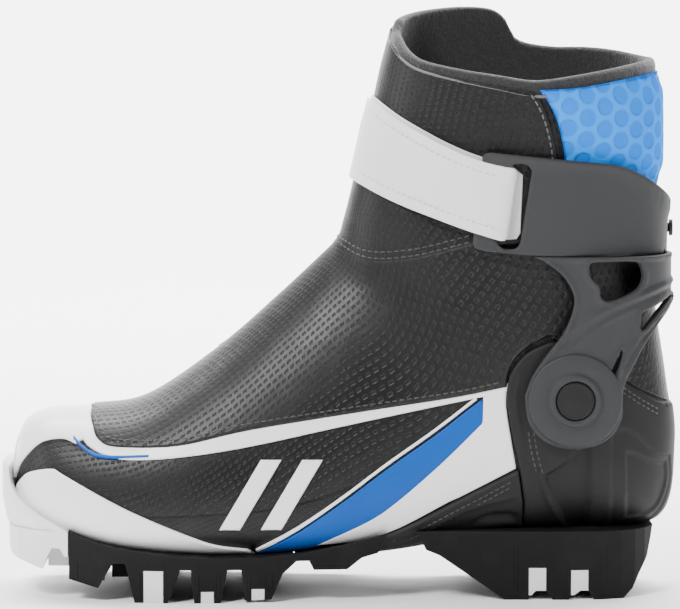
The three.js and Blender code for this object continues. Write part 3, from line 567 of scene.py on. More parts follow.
def make_materials():
    out = {}
    out["softshell"] = make_softshell("softshell", 2.6, 2.8, 0.15)
    out["softshell_cover"] = make_softshell("softshell_cover", 3.0, 3.2, 0.15)
    out["softshell_collar"] = make_softshell("softshell_collar", 2.5, 2.9, 0.15)

    fleece = Look("fleece", (0.016, 0.016, 0.017), 0.95, Specular_IOR_Level=0.15, Sheen_Weight=0.5,
                  Sheen_Roughness=0.5)
    tufts = fleece.noise(900, 4, 0.7)
    fleece.tint(fleece.ramp(tufts, 0.45, 0.75), (0.04, 0.04, 0.043), 0.7)
    fleece.bump(tufts, 0.7).bump(fleece.noise(240, 2), 0.5)
    out["fleece"] = fleece.material

    white = Look("white_film", (0.86, 0.86, 0.865), 0.34, Specular_IOR_Level=0.5, Coat_Weight=0.15,
                 Coat_Roughness=0.2)
    cloud = white.noise(30, 4)
    white.tint(white.ramp(cloud, 0.5, 0.8), (0.68, 0.68, 0.69), 0.35).rough(cloud, 0.12)
    white.bump(white.noise(160, 3), 0.1).bump(white.noise(3000, 2), 0.012)
    out["white_film"] = white.material

    blue = Look("blue_film", (0.001, 0.075, 0.36), 0.4, Specular_IOR_Level=0.18)
    cloud = blue.noise(40, 4)
    blue.tint(blue.ramp(cloud, 0.5, 0.8), (0.001, 0.065, 0.32), 0.5)
    blue.rough(cloud, 0.1).bump(blue.noise(2600, 2), 0.015)
    out["blue_film"] = blue.material

    foam = Look("blue_honeycomb", (0.004, 0.27, 0.92), 0.85, Specular_IOR_Level=0.06)
    cells = foam.hexagons(9.6)
    pit = foam.ramp(cells, 0.86, 0.66)
    knit = foam.noise(2300, 2, 0.6)
    foam.tint(pit, (0.001, 0.16, 0.70), 0.75).tint(foam.ramp(knit, 0.5, 0.75), (0.01, 0.2, 0.66), 0.35)
    foam.bump(pit, -0.55).bump(knit, 0.12)
    out["blue_honeycomb"] = foam.material

    moulded = {"moulded_cuff": (0.026, 0.0265, 0.028), "moulded_counter": (0.006, 0.006, 0.0065)}
    for name, color in moulded.items():
        plastic = Look(name, color, 0.5, Specular_IOR_Level=0.3).soften(0.5)
        grain = plastic.noise(1500, 3, 0.6)
        cloud = plastic.noise(25, 3)
        plastic.tint(plastic.ramp(cloud, 0.4, 0.8), tuple(c * 1.25 for c in color), 0.4)
        # Lighter edges here are a painted highlight.
        plastic.rough(grain, 0.14).rough(cloud, 0.08).painted_edge_highlight(tuple(c * 2.4 + 0.02 for c in color), 0.5)
        # Darker hollows here are painted shade.
        plastic.painted_crevice_shade(tuple(c * 0.12 for c in color), 2.5, 0.8)
        plastic.bump(grain, 0.06)
        out[name] = plastic.material

    rubber = Look("sole_rubber", (0.0035, 0.0035, 0.0035), 0.6, Specular_IOR_Level=0.2).soften(0.6)
    dust = rubber.noise(60, 5)
    rubber.tint(rubber.ramp(dust, 0.5, 0.8), (0.014, 0.014, 0.014), 0.5).rough(dust, 0.18)
    # Lighter edges here are a painted highlight.
    rubber.painted_edge_highlight((0.06, 0.06, 0.06), 0.4).bump(rubber.noise(1100, 2), 0.07)
    out["sole_rubber"] = rubber.material

    pale = Look("white_rubber", (0.74, 0.74, 0.745), 0.42, Specular_IOR_Level=0.45).soften(0.7)
    cloud = pale.noise(35, 4)
    pale.tint(pale.ramp(cloud, 0.5, 0.8), (0.62, 0.62, 0.63), 0.4)
    pale.rough(cloud, 0.15).bump(pale.noise(1400, 2), 0.02)
    out["white_rubber"] = pale.material

    web = Look("strap_web", (0.76, 0.76, 0.765), 0.5, Specular_IOR_Level=0.4)
    cloth = web.noise(1900, 2, 0.6)
    web.tint(web.ramp(web.noise(30, 4), 0.5, 0.8), (0.66, 0.66, 0.67), 0.4).bump(cloth, 0.05)
    out["strap_web"] = web.material

    threads = {
        "thread_black": (0.03, 0.03, 0.032), "thread_white": (0.6, 0.6, 0.61),
        "thread_grey": (0.11, 0.11, 0.115),
    }
    for name, color in threads.items():
        thread = Look(name, color, 0.6, Sheen_Weight=0.3)
        thread.bump(thread.noise(3500, 1), 0.05)
        thread.tint(thread.noise(900, 1), tuple(c * 0.6 for c in color), 0.5)
        out[name] = thread.material

    steel = Look("steel", (0.30, 0.30, 0.31), 0.36, 1.0).soften(0.2)
    brushed = steel.noise(300, 3, 0.5, stretch=(1, 8, 8))
    steel.rough(brushed, 0.15).bump(brushed, 0.01)
    out["steel"] = steel.material
    return out


LOOKS = make_materials()


def dress(piece, look, body="boot", stands_for=()):
    """Gives a piece its look and what it rides on."""
    piece.data.materials.clear()
    piece.data.materials.append(LOOKS[look])
    if body == "bend":
        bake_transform(piece)
    else:
        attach(piece, body)
    if stands_for:
        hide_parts(*stands_for)


def seam(name, line, height, look="thread_black", slot="softshell", body="boot", **sizes):
    """A row of stitches along flat places."""
    dress(stitches(name, line, height, **sizes), look, body)


def film(name, loop, high, edge=0.6, step=2.4, low=0.2, look="white_film", stands_for=()):
    """A thin film glued on the boot."""
    dress(plate(name, [loop], low, high, edge=edge, step=step), look, "boot", stands_for)


def film_line(name, points, across, high, side, look):
    """A narrow film beside a line."""
    line = run(points)
    loop = np.concatenate([flat_from_side(line, side), flat_from_side(line + across, side)[::-1]])
    film(name, loop, high, edge=0.4, step=2, look=look)


# ------------------------------------------------------------------ edge lines, drawn in the side view in mm
SIDES = ((-1, "lateral"), (1, "medial"))
TOP_LATERAL = [
    [22.5, 250], [25.5, 243], [29, 238], [36, 233.5], [52, 229.5], [69, 226.5], [85, 224],
    [103, 226], [120, 229], [140, 233],
]
TOP_MEDIAL = [
    [22.5, 250], [29, 253.5], [40, 256], [55, 257.5], [68, 256.5], [75, 251], [80, 242],
    [95, 238.5], [112, 238], [125, 236.5], [140, 233],
]
COLLAR_SEAM = [[-3.2, 152], [13, 145.5], [34, 147.3], [57.4, 154]]
PAD_FRONT = [[94.5, 190], [93.6, 198], [91.5, 207], [88.5, 215], [83.6, 223.5]]
COVER_EDGE = [
    [-108.5, 74.5], [-105.5, 69], [-97, 66], [-70.6, 67], [-39.5, 74], [5, 81.5], [49, 88.5], [73, 93.5],
]
COUNTER_REAR = [[119, 99.8], [129, 92.8], [138, 87.3], [146, 85]]


# ------------------------------------------------------------------ upper, lining and piping
SKIN_ROWS, SKIN_SIDES = 150, 132
TURNS = np.linspace(0, 2 * math.pi, SKIN_SIDES, endpoint=False)
SHARED_ROWS = 0.6  # of the rows; those above it spread out to follow the top line


def top_line():
    """How far up the boot, as u, the skin reaches at each turn round it."""
    limit = np.empty(SKIN_SIDES)
    turn = np.degrees(TURNS)
    turn = np.where(turn > 270, turn - 360, turn)
    back = 1.5 * math.pi
    for side, line in ((-1, TOP_LATERAL), (1, TOP_MEDIAL)):
        places = flat_from_side(run(line, 2), side)
        places[:, 1] = np.where(places[:, 1] / STEP_V > back - 0.2, back * STEP_V, places[:, 1])
        places = places[np.argsort(places[:, 1])]
        mine = turn <= 90 if side < 0 else turn > 90
        limit[mine] = np.interp(np.radians(turn[mine]) * STEP_V, places[:, 1], places[:, 0]) / STEP_U
    return limit


TOP = top_line()


def ring_at(u):
    """Flat places all round the last, at one u or one for each turn."""
    return np.stack([np.broadcast_to(u, SKIN_SIDES) * STEP_U, TURNS * STEP_V], 1)


def skin_rings(first_u):
    """Rings from near the toe up to the top line."""
    rings = []
    for share in np.linspace(0, 1, SKIN_ROWS):
        if share < SHARED_ROWS:
            rings.append(ring_at(first_u + share * (SHARED_ROWS - first_u) / SHARED_ROWS))
        else:
            above = (share - SHARED_ROWS) / (1 - SHARED_ROWS)
            rings.append(ring_at(SHARED_ROWS + above * (TOP - SHARED_ROWS)))
    return rings


def ring_faces(first_ring, last_ring):
    """Faces between one ring round the last and another, turned inwards."""
    starts = range(first_ring * SKIN_SIDES, last_ring * SKIN_SIDES, SKIN_SIDES)
    return [q for start in starts for q in quads(start, start + SKIN_SIDES, SKIN_SIDES)]


def skin_faces():
    """Faces of the skin's own rings, turned outwards."""
    return [(a, d, c, b) for a, b, c, d in ring_faces(0, SKIN_ROWS - 1)]


def make_upper():
    flat = np.concatenate(skin_rings(0.0))
    points = on_last(flat, 0.0)
    nose = points[:SKIN_SIDES].mean(0)
    points, flat = np.concatenate([points, [nose]]), np.concatenate([flat, [[0, 0]]])
    faces = skin_faces() + [(k, (k + 1) % SKIN_SIDES, len(points) - 1) for k in range(SKIN_SIDES)]
    upper = mesh_object("boot_upper", points, faces, cloth_place(flat))
    dress(upper, "softshell", "bend", ["upper", "ankle_flex_fold"])


def make_lining(inner=-3.4, outer=0.9):
    """The fleece from the toe to the top, rolled over the rim onto the outside, and the cord at its edge."""
    rings = skin_rings(0.02)
    heights = [inner] * len(rings)
    middle, radius = (inner + outer) / 2, (outer - inner) / 2
    for turn in np.linspace(0, math.pi, 9)[1:]:
        rings.append(ring_at(TOP + math.sin(turn) * radius * 0.75 / STEP_U))
        heights.append(middle - math.cos(turn) * radius)
    rings.append(ring_at(TOP - 3.0 / STEP_U))
    heights.append(outer)
    points = np.concatenate([on_last(ring, height) for ring, height in zip(rings, heights)])
    faces = [face[::-1] for face in skin_faces()] + ring_faces(SKIN_ROWS - 1, len(rings) - 1)
    lining = mesh_object("collar_fleece", points, faces, np.concatenate(rings))
    dress(lining, "fleece", "bend", ["collar_lining"])
    piping = tube("collar_piping", on_last(ring_at(TOP - 2.4 / STEP_U), 1.3), 0.75 * MM)
    dress(piping, "thread_grey", "cuff")


# ------------------------------------------------------------------ lace cover and its zip
PULL_AXIS = 4.3  # mm from the bare last to the pull's bar
TAPE_HALF, TAPE_LOW, TAPE_HIGH = 3.9, -57.4, 12.4  # slot for the tape, along the zip from its closed end


def zip_frame():
    """The zip's closed end, its way up, across and out, from the joints that move its slider and pull."""
    joints = {joint["name"]: joint for joint in frame["joints"]}
    way = -Vector(joints["zip_slide"]["axis"]).normalized()
    across = Vector(joints["zip_pull_flip"]["axis"]).normalized()
    out = way.cross(across).normalized()
    return Vector(joints["zip_pull_flip"]["pos_m"]) - out * PULL_AXIS * MM, way, across, out


def zip_slot(spare):
    """The slot for the zip's tape and a little more, as a flat outline on the last."""
    end, way, across, _ = zip_frame()
    us, turns = np.linspace(0.2, 0.4, 240) * STEP_U, np.linspace(1.5, 2.6, 240) * STEP_V
    grid = np.stack(np.meshgrid(us, turns), -1).reshape(-1, 2)
    places = on_last(grid, 1.0)
    half, low, high = TAPE_HALF + spare, TAPE_LOW - spare, TAPE_HIGH + spare
    corners = [(low, -half), (high, -half), (high, half), (low, half)]
    loop = []
    for (x0, y0), (x1, y1) in zip(corners, corners[1:] + corners[:1]):
        for share in np.arange(0, 1, 0.05 if x0 != x1 else 0.25):
            p = end + (way * (x0 + (x1 - x0) * share) + across * (y0 + (y1 - y0) * share)) * MM
            loop.append(grid[np.linalg.norm(places - np.array(p), axis=1).argmin()])
    return np.array(loop)


def make_zip():
    """Two rows of coils on the tape, and the seam round its slot."""
    end, way, across, out = zip_frame()
    tooth = ((-1.05, 0.35), (-0.7, 0.9), (0, 1.0), (0.7, 0.9), (1.05, 0.35))
    for i, y in enumerate((-0.75, 0.75)):
        points, faces = [], []
        for start in np.arange(-56, 11.4, 1.35):
            centre = end + (way * start + across * y + out * 0.98) * MM
            faces += spindle(len(points), len(tooth), 6)
            for along, wide in tooth:
                for k in range(6):
                    turn = math.pi * k / 3
                    round_it = way * math.cos(turn) * 0.5 + out * math.sin(turn) * 0.3
                    points.append(centre + (across * along * 0.75 + round_it * wide) * MM)
        dress(mesh_object(f"zip_coil_{i + 1}", points, faces), "thread_black", "boot")
    around = zip_slot(1.8)
    seam("zip_stitches", np.concatenate([around, around[:1]]), 1.95, body="bend")


def make_cover():
    edge = outline(
        [-110.5, 84], [-110, 78.5], COVER_EDGE, [73.5, 99], [[76.5, 105.5], [83, 111.5], [91.7, 116]],
        [106, 112.5], [112, 130], [108, 153], [57.4, 155.5], [[34, 149.2], [13, 147.4], [-1.5, 154.5]],
    )
    cover = plate("instep_cover", [wrap(edge), zip_slot(0)], 0.3, 1.9, edge=0.9, step=2.4)
    dress(cover, "softshell_cover", "bend", ["lace_cover"])
    line = run([
        [-106.5, 78], [-104, 71.5], [-97, 68.6], [-70.6, 69.6], [-39.5, 76.6], [5, 84], [49, 91], [72, 96],
    ])
    for side, name in SIDES:
        seam(f"cover_stitches_{name}", flat_from_side(line, side), 1.95, body="bend")


# ------------------------------------------------------------------ collar and its pad
def make_collar():
    start = [[-4.2, 152], COLLAR_SEAM[1:], [97, 158], [96.5, 184]]
    lateral = outline(
        *start, PAD_FRONT, [85, 221.8],
        [[69, 224.3], [52, 227.3], [36, 231.3], [29.5, 235.6], [25.8, 241], [22, 248]],
    )
    medial = outline(
        *start, [[94.5, 190], [93.6, 198], [91.5, 210], [88, 222], [82.6, 236.5]],
        [[77.5, 242.5], [72.5, 250], [66.5, 254], [55, 255], [40, 253.6], [29, 251], [22, 248]],
    )
    front = plate("collar_front_cover", [wrap(lateral, medial)], 0.3, 2.0, edge=1.3, step=2.4)
    dress(front, "softshell_collar", "cuff", ["collar_front"])
    rear = run([[92.2, 190], [91.3, 198], [89.2, 207], [86.2, 215], [81.5, 222.5]])
    for side, name in SIDES:
        for i, up in enumerate((2.4, 5.2)):
            line = run([[x, z + up] for x, z in [[-2.6, 152.3]] + COLLAR_SEAM[1:]])
            seam(f"collar_seam_{i + 1}_{name}", flat_from_side(line, side), 2.05, body="cuff")
        seam(f"collar_edge_stitches_{name}", flat_from_side(rear, side), 2.05, "thread_grey", body="cuff")


def collar_place(flat):
    """Height, and length round the collar from its back, in mm."""
    turns = np.linspace(-CROWN * 3, CROWN, 241)
    ring = on_last(np.stack([np.full(241, 0.87 * STEP_U), turns * STEP_V], 1), 3.0) / MM
    around = np.concatenate([[0], np.cumsum(np.linalg.norm(np.diff(ring, axis=0), axis=1))])
    return np.stack([on_last(flat, 0.0)[:, 2] / MM, np.interp(flat[:, 1] / STEP_V, turns, around)], 1)


def inflate(pad, most):
    """Swells the pad's free surface with a cloth simulation, by at most so many mm."""
    rest = np.array([v.co for v in pad.data.vertices])
    half = len(rest) // 2
    rim = {v for face in pad.data.polygons for v in face.vertices
           if min(face.vertices) < half <= max(face.vertices)}
    held = pad.vertex_groups.new(name="held")
    held.add(sorted(rim | set(range(half, len(rest)))), 1.0, "REPLACE")
    cloth = pad.modifiers.new("cloth", "CLOTH")
    cloth.settings.vertex_group_mass = "held"
    cloth.settings.use_pressure = True
    cloth.settings.uniform_pressure_force = 4.0
    cloth.settings.effector_weights.gravity = 0.0
    for frame_number in range(1, 21):
        SCENE.frame_set(frame_number)
    swollen = pad.evaluated_get(bpy.context.evaluated_depsgraph_get())
    moved = np.array([v.co for v in swollen.data.vertices]) - rest
    size = np.linalg.norm(moved, axis=1)
    moved *= (np.minimum(size, most * MM) / np.maximum(size, 1e-9))[:, None]
    pad.modifiers.remove(cloth)
    pad.vertex_groups.clear()
    pad.data.vertices.foreach_set("co", (rest + moved).ravel())
    SCENE.frame_set(1)


def pad_puff(points, gap):
    """The pad's rise above the band, which squeezes its lower part."""
    free = smooth(190, 199, points[:, 2] / HEIGHT + (points[:, 0] / LENGTH - 115) * 0.3)
    return 2.4 * free * smooth(0, 9, gap), 0 * gap


def make_pad():
    lateral = outline(
        [138, 172], [97, 180], [[97.6, 190], [96.6, 199], [94.4, 208], [91, 216], [86.5, 222.6]],
        [[103, 223.6], [120, 226.6], [140, 230.6]],
    )
    medial = outline(
        [138, 172], [97, 180], [[97.6, 190], [96.6, 199], [94.4, 210], [91, 222], [86, 236.2]],
        [[95, 236.3], [112, 235.8], [125, 234.2], [140, 230.6]],
    )
    pad = plate("collar_pad_cover", [wrap(lateral, medial, KEEL)], 0.4, 1.9, edge=1.6, step=2.4,
                both=True, shape=pad_puff, cloth=collar_place)
    inflate(pad, 1.2)
    dress(pad, "blue_honeycomb", "cuff", ["collar_pad"])


# ------------------------------------------------------------------ films and heel textile
def make_toe_film():
    edge = outline(
        [-144, 45.5], [[-142.5, 52], [-138.9, 59.5], [-131, 67.3], [-121.6, 69.4], [-115.5, 67.6]],
        [[-111, 69.8], [-105.5, 73]], [-104, 84],
    )
    film("white_toe_film", wrap(edge), 1.0, edge=0.8, low=0.1, stands_for=["white_film"])


def make_side_films(side, name):
    strip = patch(
        [-113.5, 71.5],
        [[-109.5, 66.5], [-99, 62], [-83, 61.5], [-60, 64], [-35, 68.4], [0, 76], [58, 88.2]],
        [74.5, 91.5], [74, 95.5],
        [[49, 90.5], [5, 83.5], [-39.5, 76.5], [-70.6, 69.3], [-97, 68], [-105, 71.5]],
        [-108.5, 76], side=side,
    )
    film(f"white_strip_{name}", strip, 1.2)
    forefoot = patch(
        [-146, 40], [-143.5, 45],
        [[-140.5, 50], [-135.5, 54.5], [-125.5, 56.6], [-119.7, 54], [-92.8, 40.5], [-67.7, 30],
         [-54, 24.9], [-40, 22.8]],
        [-36, 19.8], [[-55, 18.8], [-73, 19.3], [-96.5, 22.3], [-118, 29.8], [-134, 38]], side=side,
    )
    film(f"white_forefoot_{name}", forefoot, 1.3, edge=0.7)
    quarter = patch(
        [-11, 24.6], [[9.5, 26.6], [26, 32], [47, 43], [54, 46.2], [77, 58]], [76, 64],
        [[74, 76], [72.8, 85], [73, 92.2]], [62.8, 89.2], [62.4, 78.3],
        [[42.3, 58.8], [19, 39.5], [2, 30.5]], side=side,
    )
    film(f"white_quarter_{name}", quarter, 1.4, edge=0.7)
    stripe = patch(
        [-37.5, 20], [[-12, 23.6], [2.6, 30], [19.3, 38.6], [42.4, 57.6], [62.4, 76.8]], [62.7, 88.4],
        [[53, 81], [42, 72.4], [22, 58.5], [2, 43.8], [-17, 31]], side=side,
    )
    film(f"blue_stripe_{name}", stripe, 1.3, edge=0.5, step=2.2, look="blue_film",
         stands_for=[f"blue_stripe_{name}"])
    line = [[-36, 21.6], [-17.5, 32], [1.5, 44.8], [21.5, 59.6], [41.5, 73.6], [60, 87.8]]
    film_line(f"white_line_{name}", line, [-0.5, 1.2], 1.3, side, "white_film")
    line = [[-116.5, 69.2], [-112.5, 65.6], [-107, 62.6], [-98, 61.6], [-83, 62.2]]
    film_line(f"blue_line_{name}", line, [0.2, 1.1], 1.6, side, "blue_film")


def make_marks():
    for i, x in enumerate((-52, -34)):
        mark = patch([x, 32], [x + 9, 32], [x + 27, 62], [x + 18, 62])
        film(f"mark_bar_{i + 1}", mark, 1.2, step=2, stands_for=[f"mark_{i + 1}"])


def make_heel_panel():
    edge = outline(
        [148, 84], [129, 93], [119, 100], [106, 112], [92.6, 114.5], [90, 140], [92, 178], [142, 176],
    )
    panel = plate("heel_textile", [wrap(edge, over=KEEL)], 0.2, 1.4, edge=0.6, step=3)
    dress(panel, "softshell_collar", "bend", ["heel_panel"])


# ------------------------------------------------------------------ relief of the moulded parts
def distance(points, line, closed=False):
    """Distance in the side view, in mm, from points to a line of corners."""
    a = np.asarray(line, float)
    b = np.roll(a, -1, 0) if closed else a[1:]
    a = a if closed else a[:-1]
    p = points[:, None, :]
    way = b - a
    share = np.clip(((p - a) * way).sum(2) / np.maximum((way * way).sum(1), 1e-9), 0, 1)
    return np.sqrt((((p - a - share[..., None] * way) ** 2).sum(2)).min(1))


def side_view(points):
    return points[:, [0, 2]] / [LENGTH, HEIGHT]


def pocket(points, edge, depth, soft):
    """How far a surface sinks inside an outline, with a sloping wall."""
    near = distance(points, edge, closed=True)
    return -depth * np.clip(np.where(inside(points, edge), near, 0) / soft, 0, 1)


def ridge(points, line, width, height):
    """A rounded ridge along a line."""
    return height * np.sqrt(np.clip(1 - (distance(points, run(line, 1.0)) / (width / 2)) ** 2, 0, 1))


def behind_slot(x, z):
    """How far a place lies behind the front of the band's slanted slot, in mm."""
    return x - 69.2 - (z - 156) * 4.6 / 33


# ------------------------------------------------------------------ heel counter and shank
COUNTER_POCKETS = [
    (outline([89, 55], [[95, 58.5], [101, 63], [106, 68.5]], [[108.5, 69.5], [109.3, 67]], [109.5, 31],
             [99.8, 31], closed=True), 1.7, 0.9),
    (outline([118.4, 31], [118, 69],
             [[118.6, 73], [121.5, 75.5], [125, 75.2], [130, 72.3], [136, 66.5], [140, 63.2], [145.5, 62]],
             [[146, 50], [142, 38], [136, 32]], closed=True), 0.9, 0.8),
    (outline([126, 34], [125, 64.5], [[129, 64.2], [134, 61.5], [140, 59.4], [144.2, 59]],
             [[144.6, 50], [140.5, 39], [134, 34.4]], closed=True), 1.1, 0.8),
]
SHANK_WINDOW = outline([57.5, 34], [[64, 37.6], [69, 38.8]], [75.5, 38.6], [77.2, 35.4], closed=True)


def counter_shape(middle, gap):
    p = side_view(middle)
    top = sum(pocket(p, *one) for one in COUNTER_POCKETS)
    top += ridge(p, [[86.6, 56.5], [88.5, 50], [93, 40], [98.4, 30.5]], 2.4, 0.9)
    top += ridge(p, [[79.2, 100], [76.8, 92], [77.6, 80], [81.5, 60]], 1.8, 0.5)
    return top, 0 * top


def shank_shape(middle, gap):
    p = side_view(middle)
    top = ridge(p, [[-18, 19.6], [10, 22.5], [35, 26.5], [56, 31], [78, 33.5]], 3.4, 0.9)
    top += ridge(p, [[20, 26.5], [40, 33], [56, 40.5], [76, 46]], 2.0, 0.5)
    top += pocket(p, SHANK_WINDOW, 1.9, 0.8)
    return top, 0 * top


def moulded_seams(part, rows, height):
    """The moulded rows of stitches of the counter or the shank, on both sides."""
    for side, name in SIDES:
        for i, row in enumerate(rows):
            seam(f"{part}_stitches_{i + 1}_{name}", flat_from_side(run(row), side), height,
                 slot="moulded_counter", pitch=2.8, size=2.0, radius=0.28)


def make_counter():
    edge = outline(
        [80, 27.6], [80, 44], [78, 59], [[74, 80], [73, 92], [75.5, 101], [82.5, 109], [92, 113.5]],
        [[106, 111], *COUNTER_REAR],
    )
    counter = plate("heel_counter_shell", [wrap(edge, over=KEEL)], 0.3, 3.2, edge=1.0, step=0.55,
                    shape=counter_shape)
    dress(counter, "moulded_counter", "boot", ["heel_counter"])
    rows = [[[x, z - down] for x, z in COUNTER_REAR[:3]] for down in (3.2, 5.4)]
    rows += [[[81.6 + back, 76], [83 + back, 66], [85.5 + back, 56]] for back in (0, 2.4)]
    moulded_seams("counter", rows, 3.2)


def make_shank():
    edge = outline(
        [-19.5, 17.5], [-19.5, 20.4], [[-14, 22], [8, 26.4], [26, 31.6], [54, 45.6], [77.6, 57.6]],
        [79.4, 44], [79.4, 27.6],
    )
    shank = plate("shank_shell", [wrap(edge, over=KEEL)], 0.3, 3.2, edge=1.0, step=0.8, shape=shank_shape)
    dress(shank, "moulded_counter", "boot", ["shank"])
    top = [[-8, 23.2], [10, 26.9], [26, 31.2], [54, 45], [75.5, 56.2]]
    moulded_seams("shank", [[[x, z - down] for x, z in top] for down in (2.2, 4.4)], 3.25)


# ------------------------------------------------------------------ cuff and band
CUFF_FRONT, CUFF_ROUND, CUFF_BACK, CUFF_HALF = 30 * LENGTH, 104 * LENGTH, 144.2 * LENGTH, 40.3 * WIDTH
CUFF_WINDOW = [
    [108.2, 147.2], [111.5, 148.2], [126.5, 148.2], [129.8, 146], [130.8, 140.5], [127.5, 135.5],
    [117, 131.2], [113.2, 132.8], [112.4, 137.5], [108.6, 142],
]
CUFF_GAP = [[129.6, 125.4], [137, 129.2], [143.6, 132], [137, 125.2], [131.2, 118.6], [129.2, 119.2]]
CUFF_SLIT = [[113.2, 95], [117, 100], [121.2, 109.4], [121.6, 107], [119.4, 100], [116, 94.2]]
# radius, and distance outside the arm's inner face
BOSS_PROFILE = [
    [20.5, 2.4], [20.5, 3.4], [20.2, 4.0], [19.4, 4.35], [13.6, 4.45], [12.6, 4.2], [11.8, 4.25],
    [11.4, 4.8], [10.9, 5.35], [10.2, 5.5], [9.2, 5.45], [8.7, 5.2], [8.5, 4.2], [8.45, 3.6],
]
BUTTON_PROFILE = [
    [4.0, -3.4], [4.0, 3.5], [8.2, 3.6], [8.2, 5.0], [7.9, 5.4], [7.3, 5.6], [6.9, 5.45], [6.4, 5.5],
    [3, 5.75], [0.1, 5.8],
]
BAND_TOP = [
    [66.5, 195.2], [71, 195], [93, 193.4], [115, 191.6], [122.8, 189.4], [131, 184.6], [138.4, 178.6],
    [147.5, 168.5],
]


def horseshoe_path():
    """The cuff's plan: straight arms and a round back."""
    turn = np.linspace(-math.pi / 2, math.pi / 2, 400)
    c, v = np.cos(turn), np.sin(turn)
    x = CUFF_ROUND + (CUFF_BACK - CUFF_ROUND) * np.abs(c) ** 0.85
    y = CUFF_HALF * np.sign(v) * np.abs(v) ** 0.85
    return np.concatenate([[[CUFF_FRONT, -CUFF_HALF]], np.stack([x, y], 1), [[CUFF_FRONT, CUFF_HALF]]])


PATH = horseshoe_path()
PATH_AT = np.concatenate([[0], np.cumsum(np.linalg.norm(np.diff(PATH, axis=0), axis=1))])


def on_cuff(flat, grow):
    """Points on the cuff's horseshoe for places given as distance along it and height, in mm."""
    at = lambda along: np.stack([np.interp(along, PATH_AT, PATH[:, k]) for k in (0, 1)], 1)
    way = at(flat[:, 0] + 0.4) - at(flat[:, 0] - 0.4)
    way /= np.maximum(np.linalg.norm(way, axis=1), 1e-9)[:, None]
    out = np.stack([way[:, 1], -way[:, 0]], 1)
    place = at(flat[:, 0]) + out * np.broadcast_to(grow, len(flat))[:, None]
    return np.column_stack([place, flat[:, 1]]) * MM


def cuff_flat(points, side=-1):
    """Places along the horseshoe of points drawn in the side view."""
    p = np.asarray(points, float) * [LENGTH, HEIGHT]
    half = len(PATH) // 2 + 1
    along = np.interp(p[:, 0], PATH[:half, 0], PATH_AT[:half])
    return np.stack([along if side < 0 else PATH_AT[-1] - along, p[:, 1]], 1)


def cuff_shape(middle, gap):
    p = side_view(middle)
    crest = [[92.5, 111], [100, 117.5], [112, 125.5], [126, 131.5], [143, 137.6], [152, 139]]
    top = ridge(p, crest, 2.6, 1.0)
    top += ridge(p, [[95, 105.5], [103, 113], [115, 121.8], [127, 127.3], [144, 134]], 1.6, 0.55)
    top += ridge(p, [[119.5, 92], [121.5, 101], [127, 111.5], [134, 120.5], [146, 131.5]], 2.2, 0.8)
    top += 0.7 * (1 - smooth(1.2, 2.4, gap)) * (p[:, 1] > 100)
    return top, 0 * top


def make_cuff():
    near = cuff_flat(outline(
        [148, 150.4], [104, 150.4], [84, 150.8],
        [[90, 147.6], [97, 142], [101.3, 134.5], [101.4, 128], [97.5, 118], [90, 108], [84, 99], [80.5, 90]],
        [[82.5, 78], [90, 69.6], [102.5, 66.8], [115, 70], [122, 79.5], [122.6, 92], [128, 106],
         [135, 117.5], [143, 127.5]],
        [148, 131],
    ))
    near[[0, -1], 0] = PATH_AT[-1] / 2
    far = near * [-1, 1] + [PATH_AT[-1], 0]
    loops = [np.concatenate([near, far[-2:0:-1]])]
    for side, _ in SIDES:
        for ring in (CUFF_WINDOW, CUFF_GAP, CUFF_SLIT):
            loops.append(cuff_flat(run([*ring, ring[0]], 0.9)[:-1], side))
    cuff = plate("ankle_cuff", loops, 0.2, 3.1, edge=1.0, step=1.3, both=True, surface=on_cuff,
                 shape=cuff_shape)
    dress(cuff, "moulded_cuff", "cuff", ["cuff"])
    for side, name in SIDES:
        boss = lathe(f"cuff_boss_{name}", [[r, CUFF_HALF + out] for r, out in BOSS_PROFILE], ANKLE, side)
        dress(boss, "moulded_cuff", "cuff")
        pin = lathe(f"ankle_button_{name}", [[r, CUFF_HALF + out] for r, out in BUTTON_PROFILE], ANKLE, side)
        dress(pin, "moulded_counter", "boot", [f"ankle_pin_{name}"])


def make_tongues():
    """The tongues of the cuff that go up behind the band."""
    rear = outline([138.4, 147], [131, 147], [131, 166], [138, 166])
    loops = {name: patch([88, 150.2], [104, 148.5], [104, 166], [88, 166], side=side) for side, name in SIDES}
    loops["rear"] = wrap(rear, rear, KEEL)
    for name, loop in loops.items():
        tongue = plate(f"cuff_tongue_{name}", [loop], 2.3, 4.6, edge=0.8, step=2.4)
        dress(tongue, "moulded_cuff", "cuff")


def band_shape(middle, gap):
    """A thinner bar in front of the slot, and a raised lip along the top."""
    p = side_view(middle)
    top = -1.5 * (1 - smooth(-0.4, 0.6, behind_slot(p[:, 0], p[:, 1]))) * (p[:, 1] < 188.5)
    top += 0.75 * (1 - smooth(1.6, 2.8, distance(p, run(BAND_TOP, 1.5))))
    return top, 0 * top


def make_band():
    edge = outline(
        [147.5, 153.4], [[144, 152.6], [130.5, 153.4], [110, 152.5], [88.2, 151.4], [66, 151.8]],
        [[60.5, 153], [59.3, 156]], [63.2, 190], [[63.6, 194], *BAND_TOP],
    )
    slot = outline(
        [69.4, 155.6], [74, 189], [[76.5, 190.8], [80.6, 190.6], [82.6, 188]], [78.4, 157],
        [[76.4, 154], [71.6, 153.6]], closed=True,
    )
    band = plate("ankle_band", [wrap(edge, over=KEEL), flat_from_side(slot)], 5.2, 8.3, edge=0.9, step=1.5,
                 both=True, shape=band_shape)
    dress(band, "moulded_cuff", "cuff", ["band"])


# ------------------------------------------------------------------ sole
# from x, to x, top and foot of each lug's ribs
LUGS = [
    (-116, -101, 18, 9), (-88.5, -71.5, 13.5, 2.5), (-63, -50.5, 13, 2.5), (-40.5, -28, 13, 4.5),
    (73, 82, 24, 3), (92, 100, 24, 3), (111, 124, 24, 4),
]
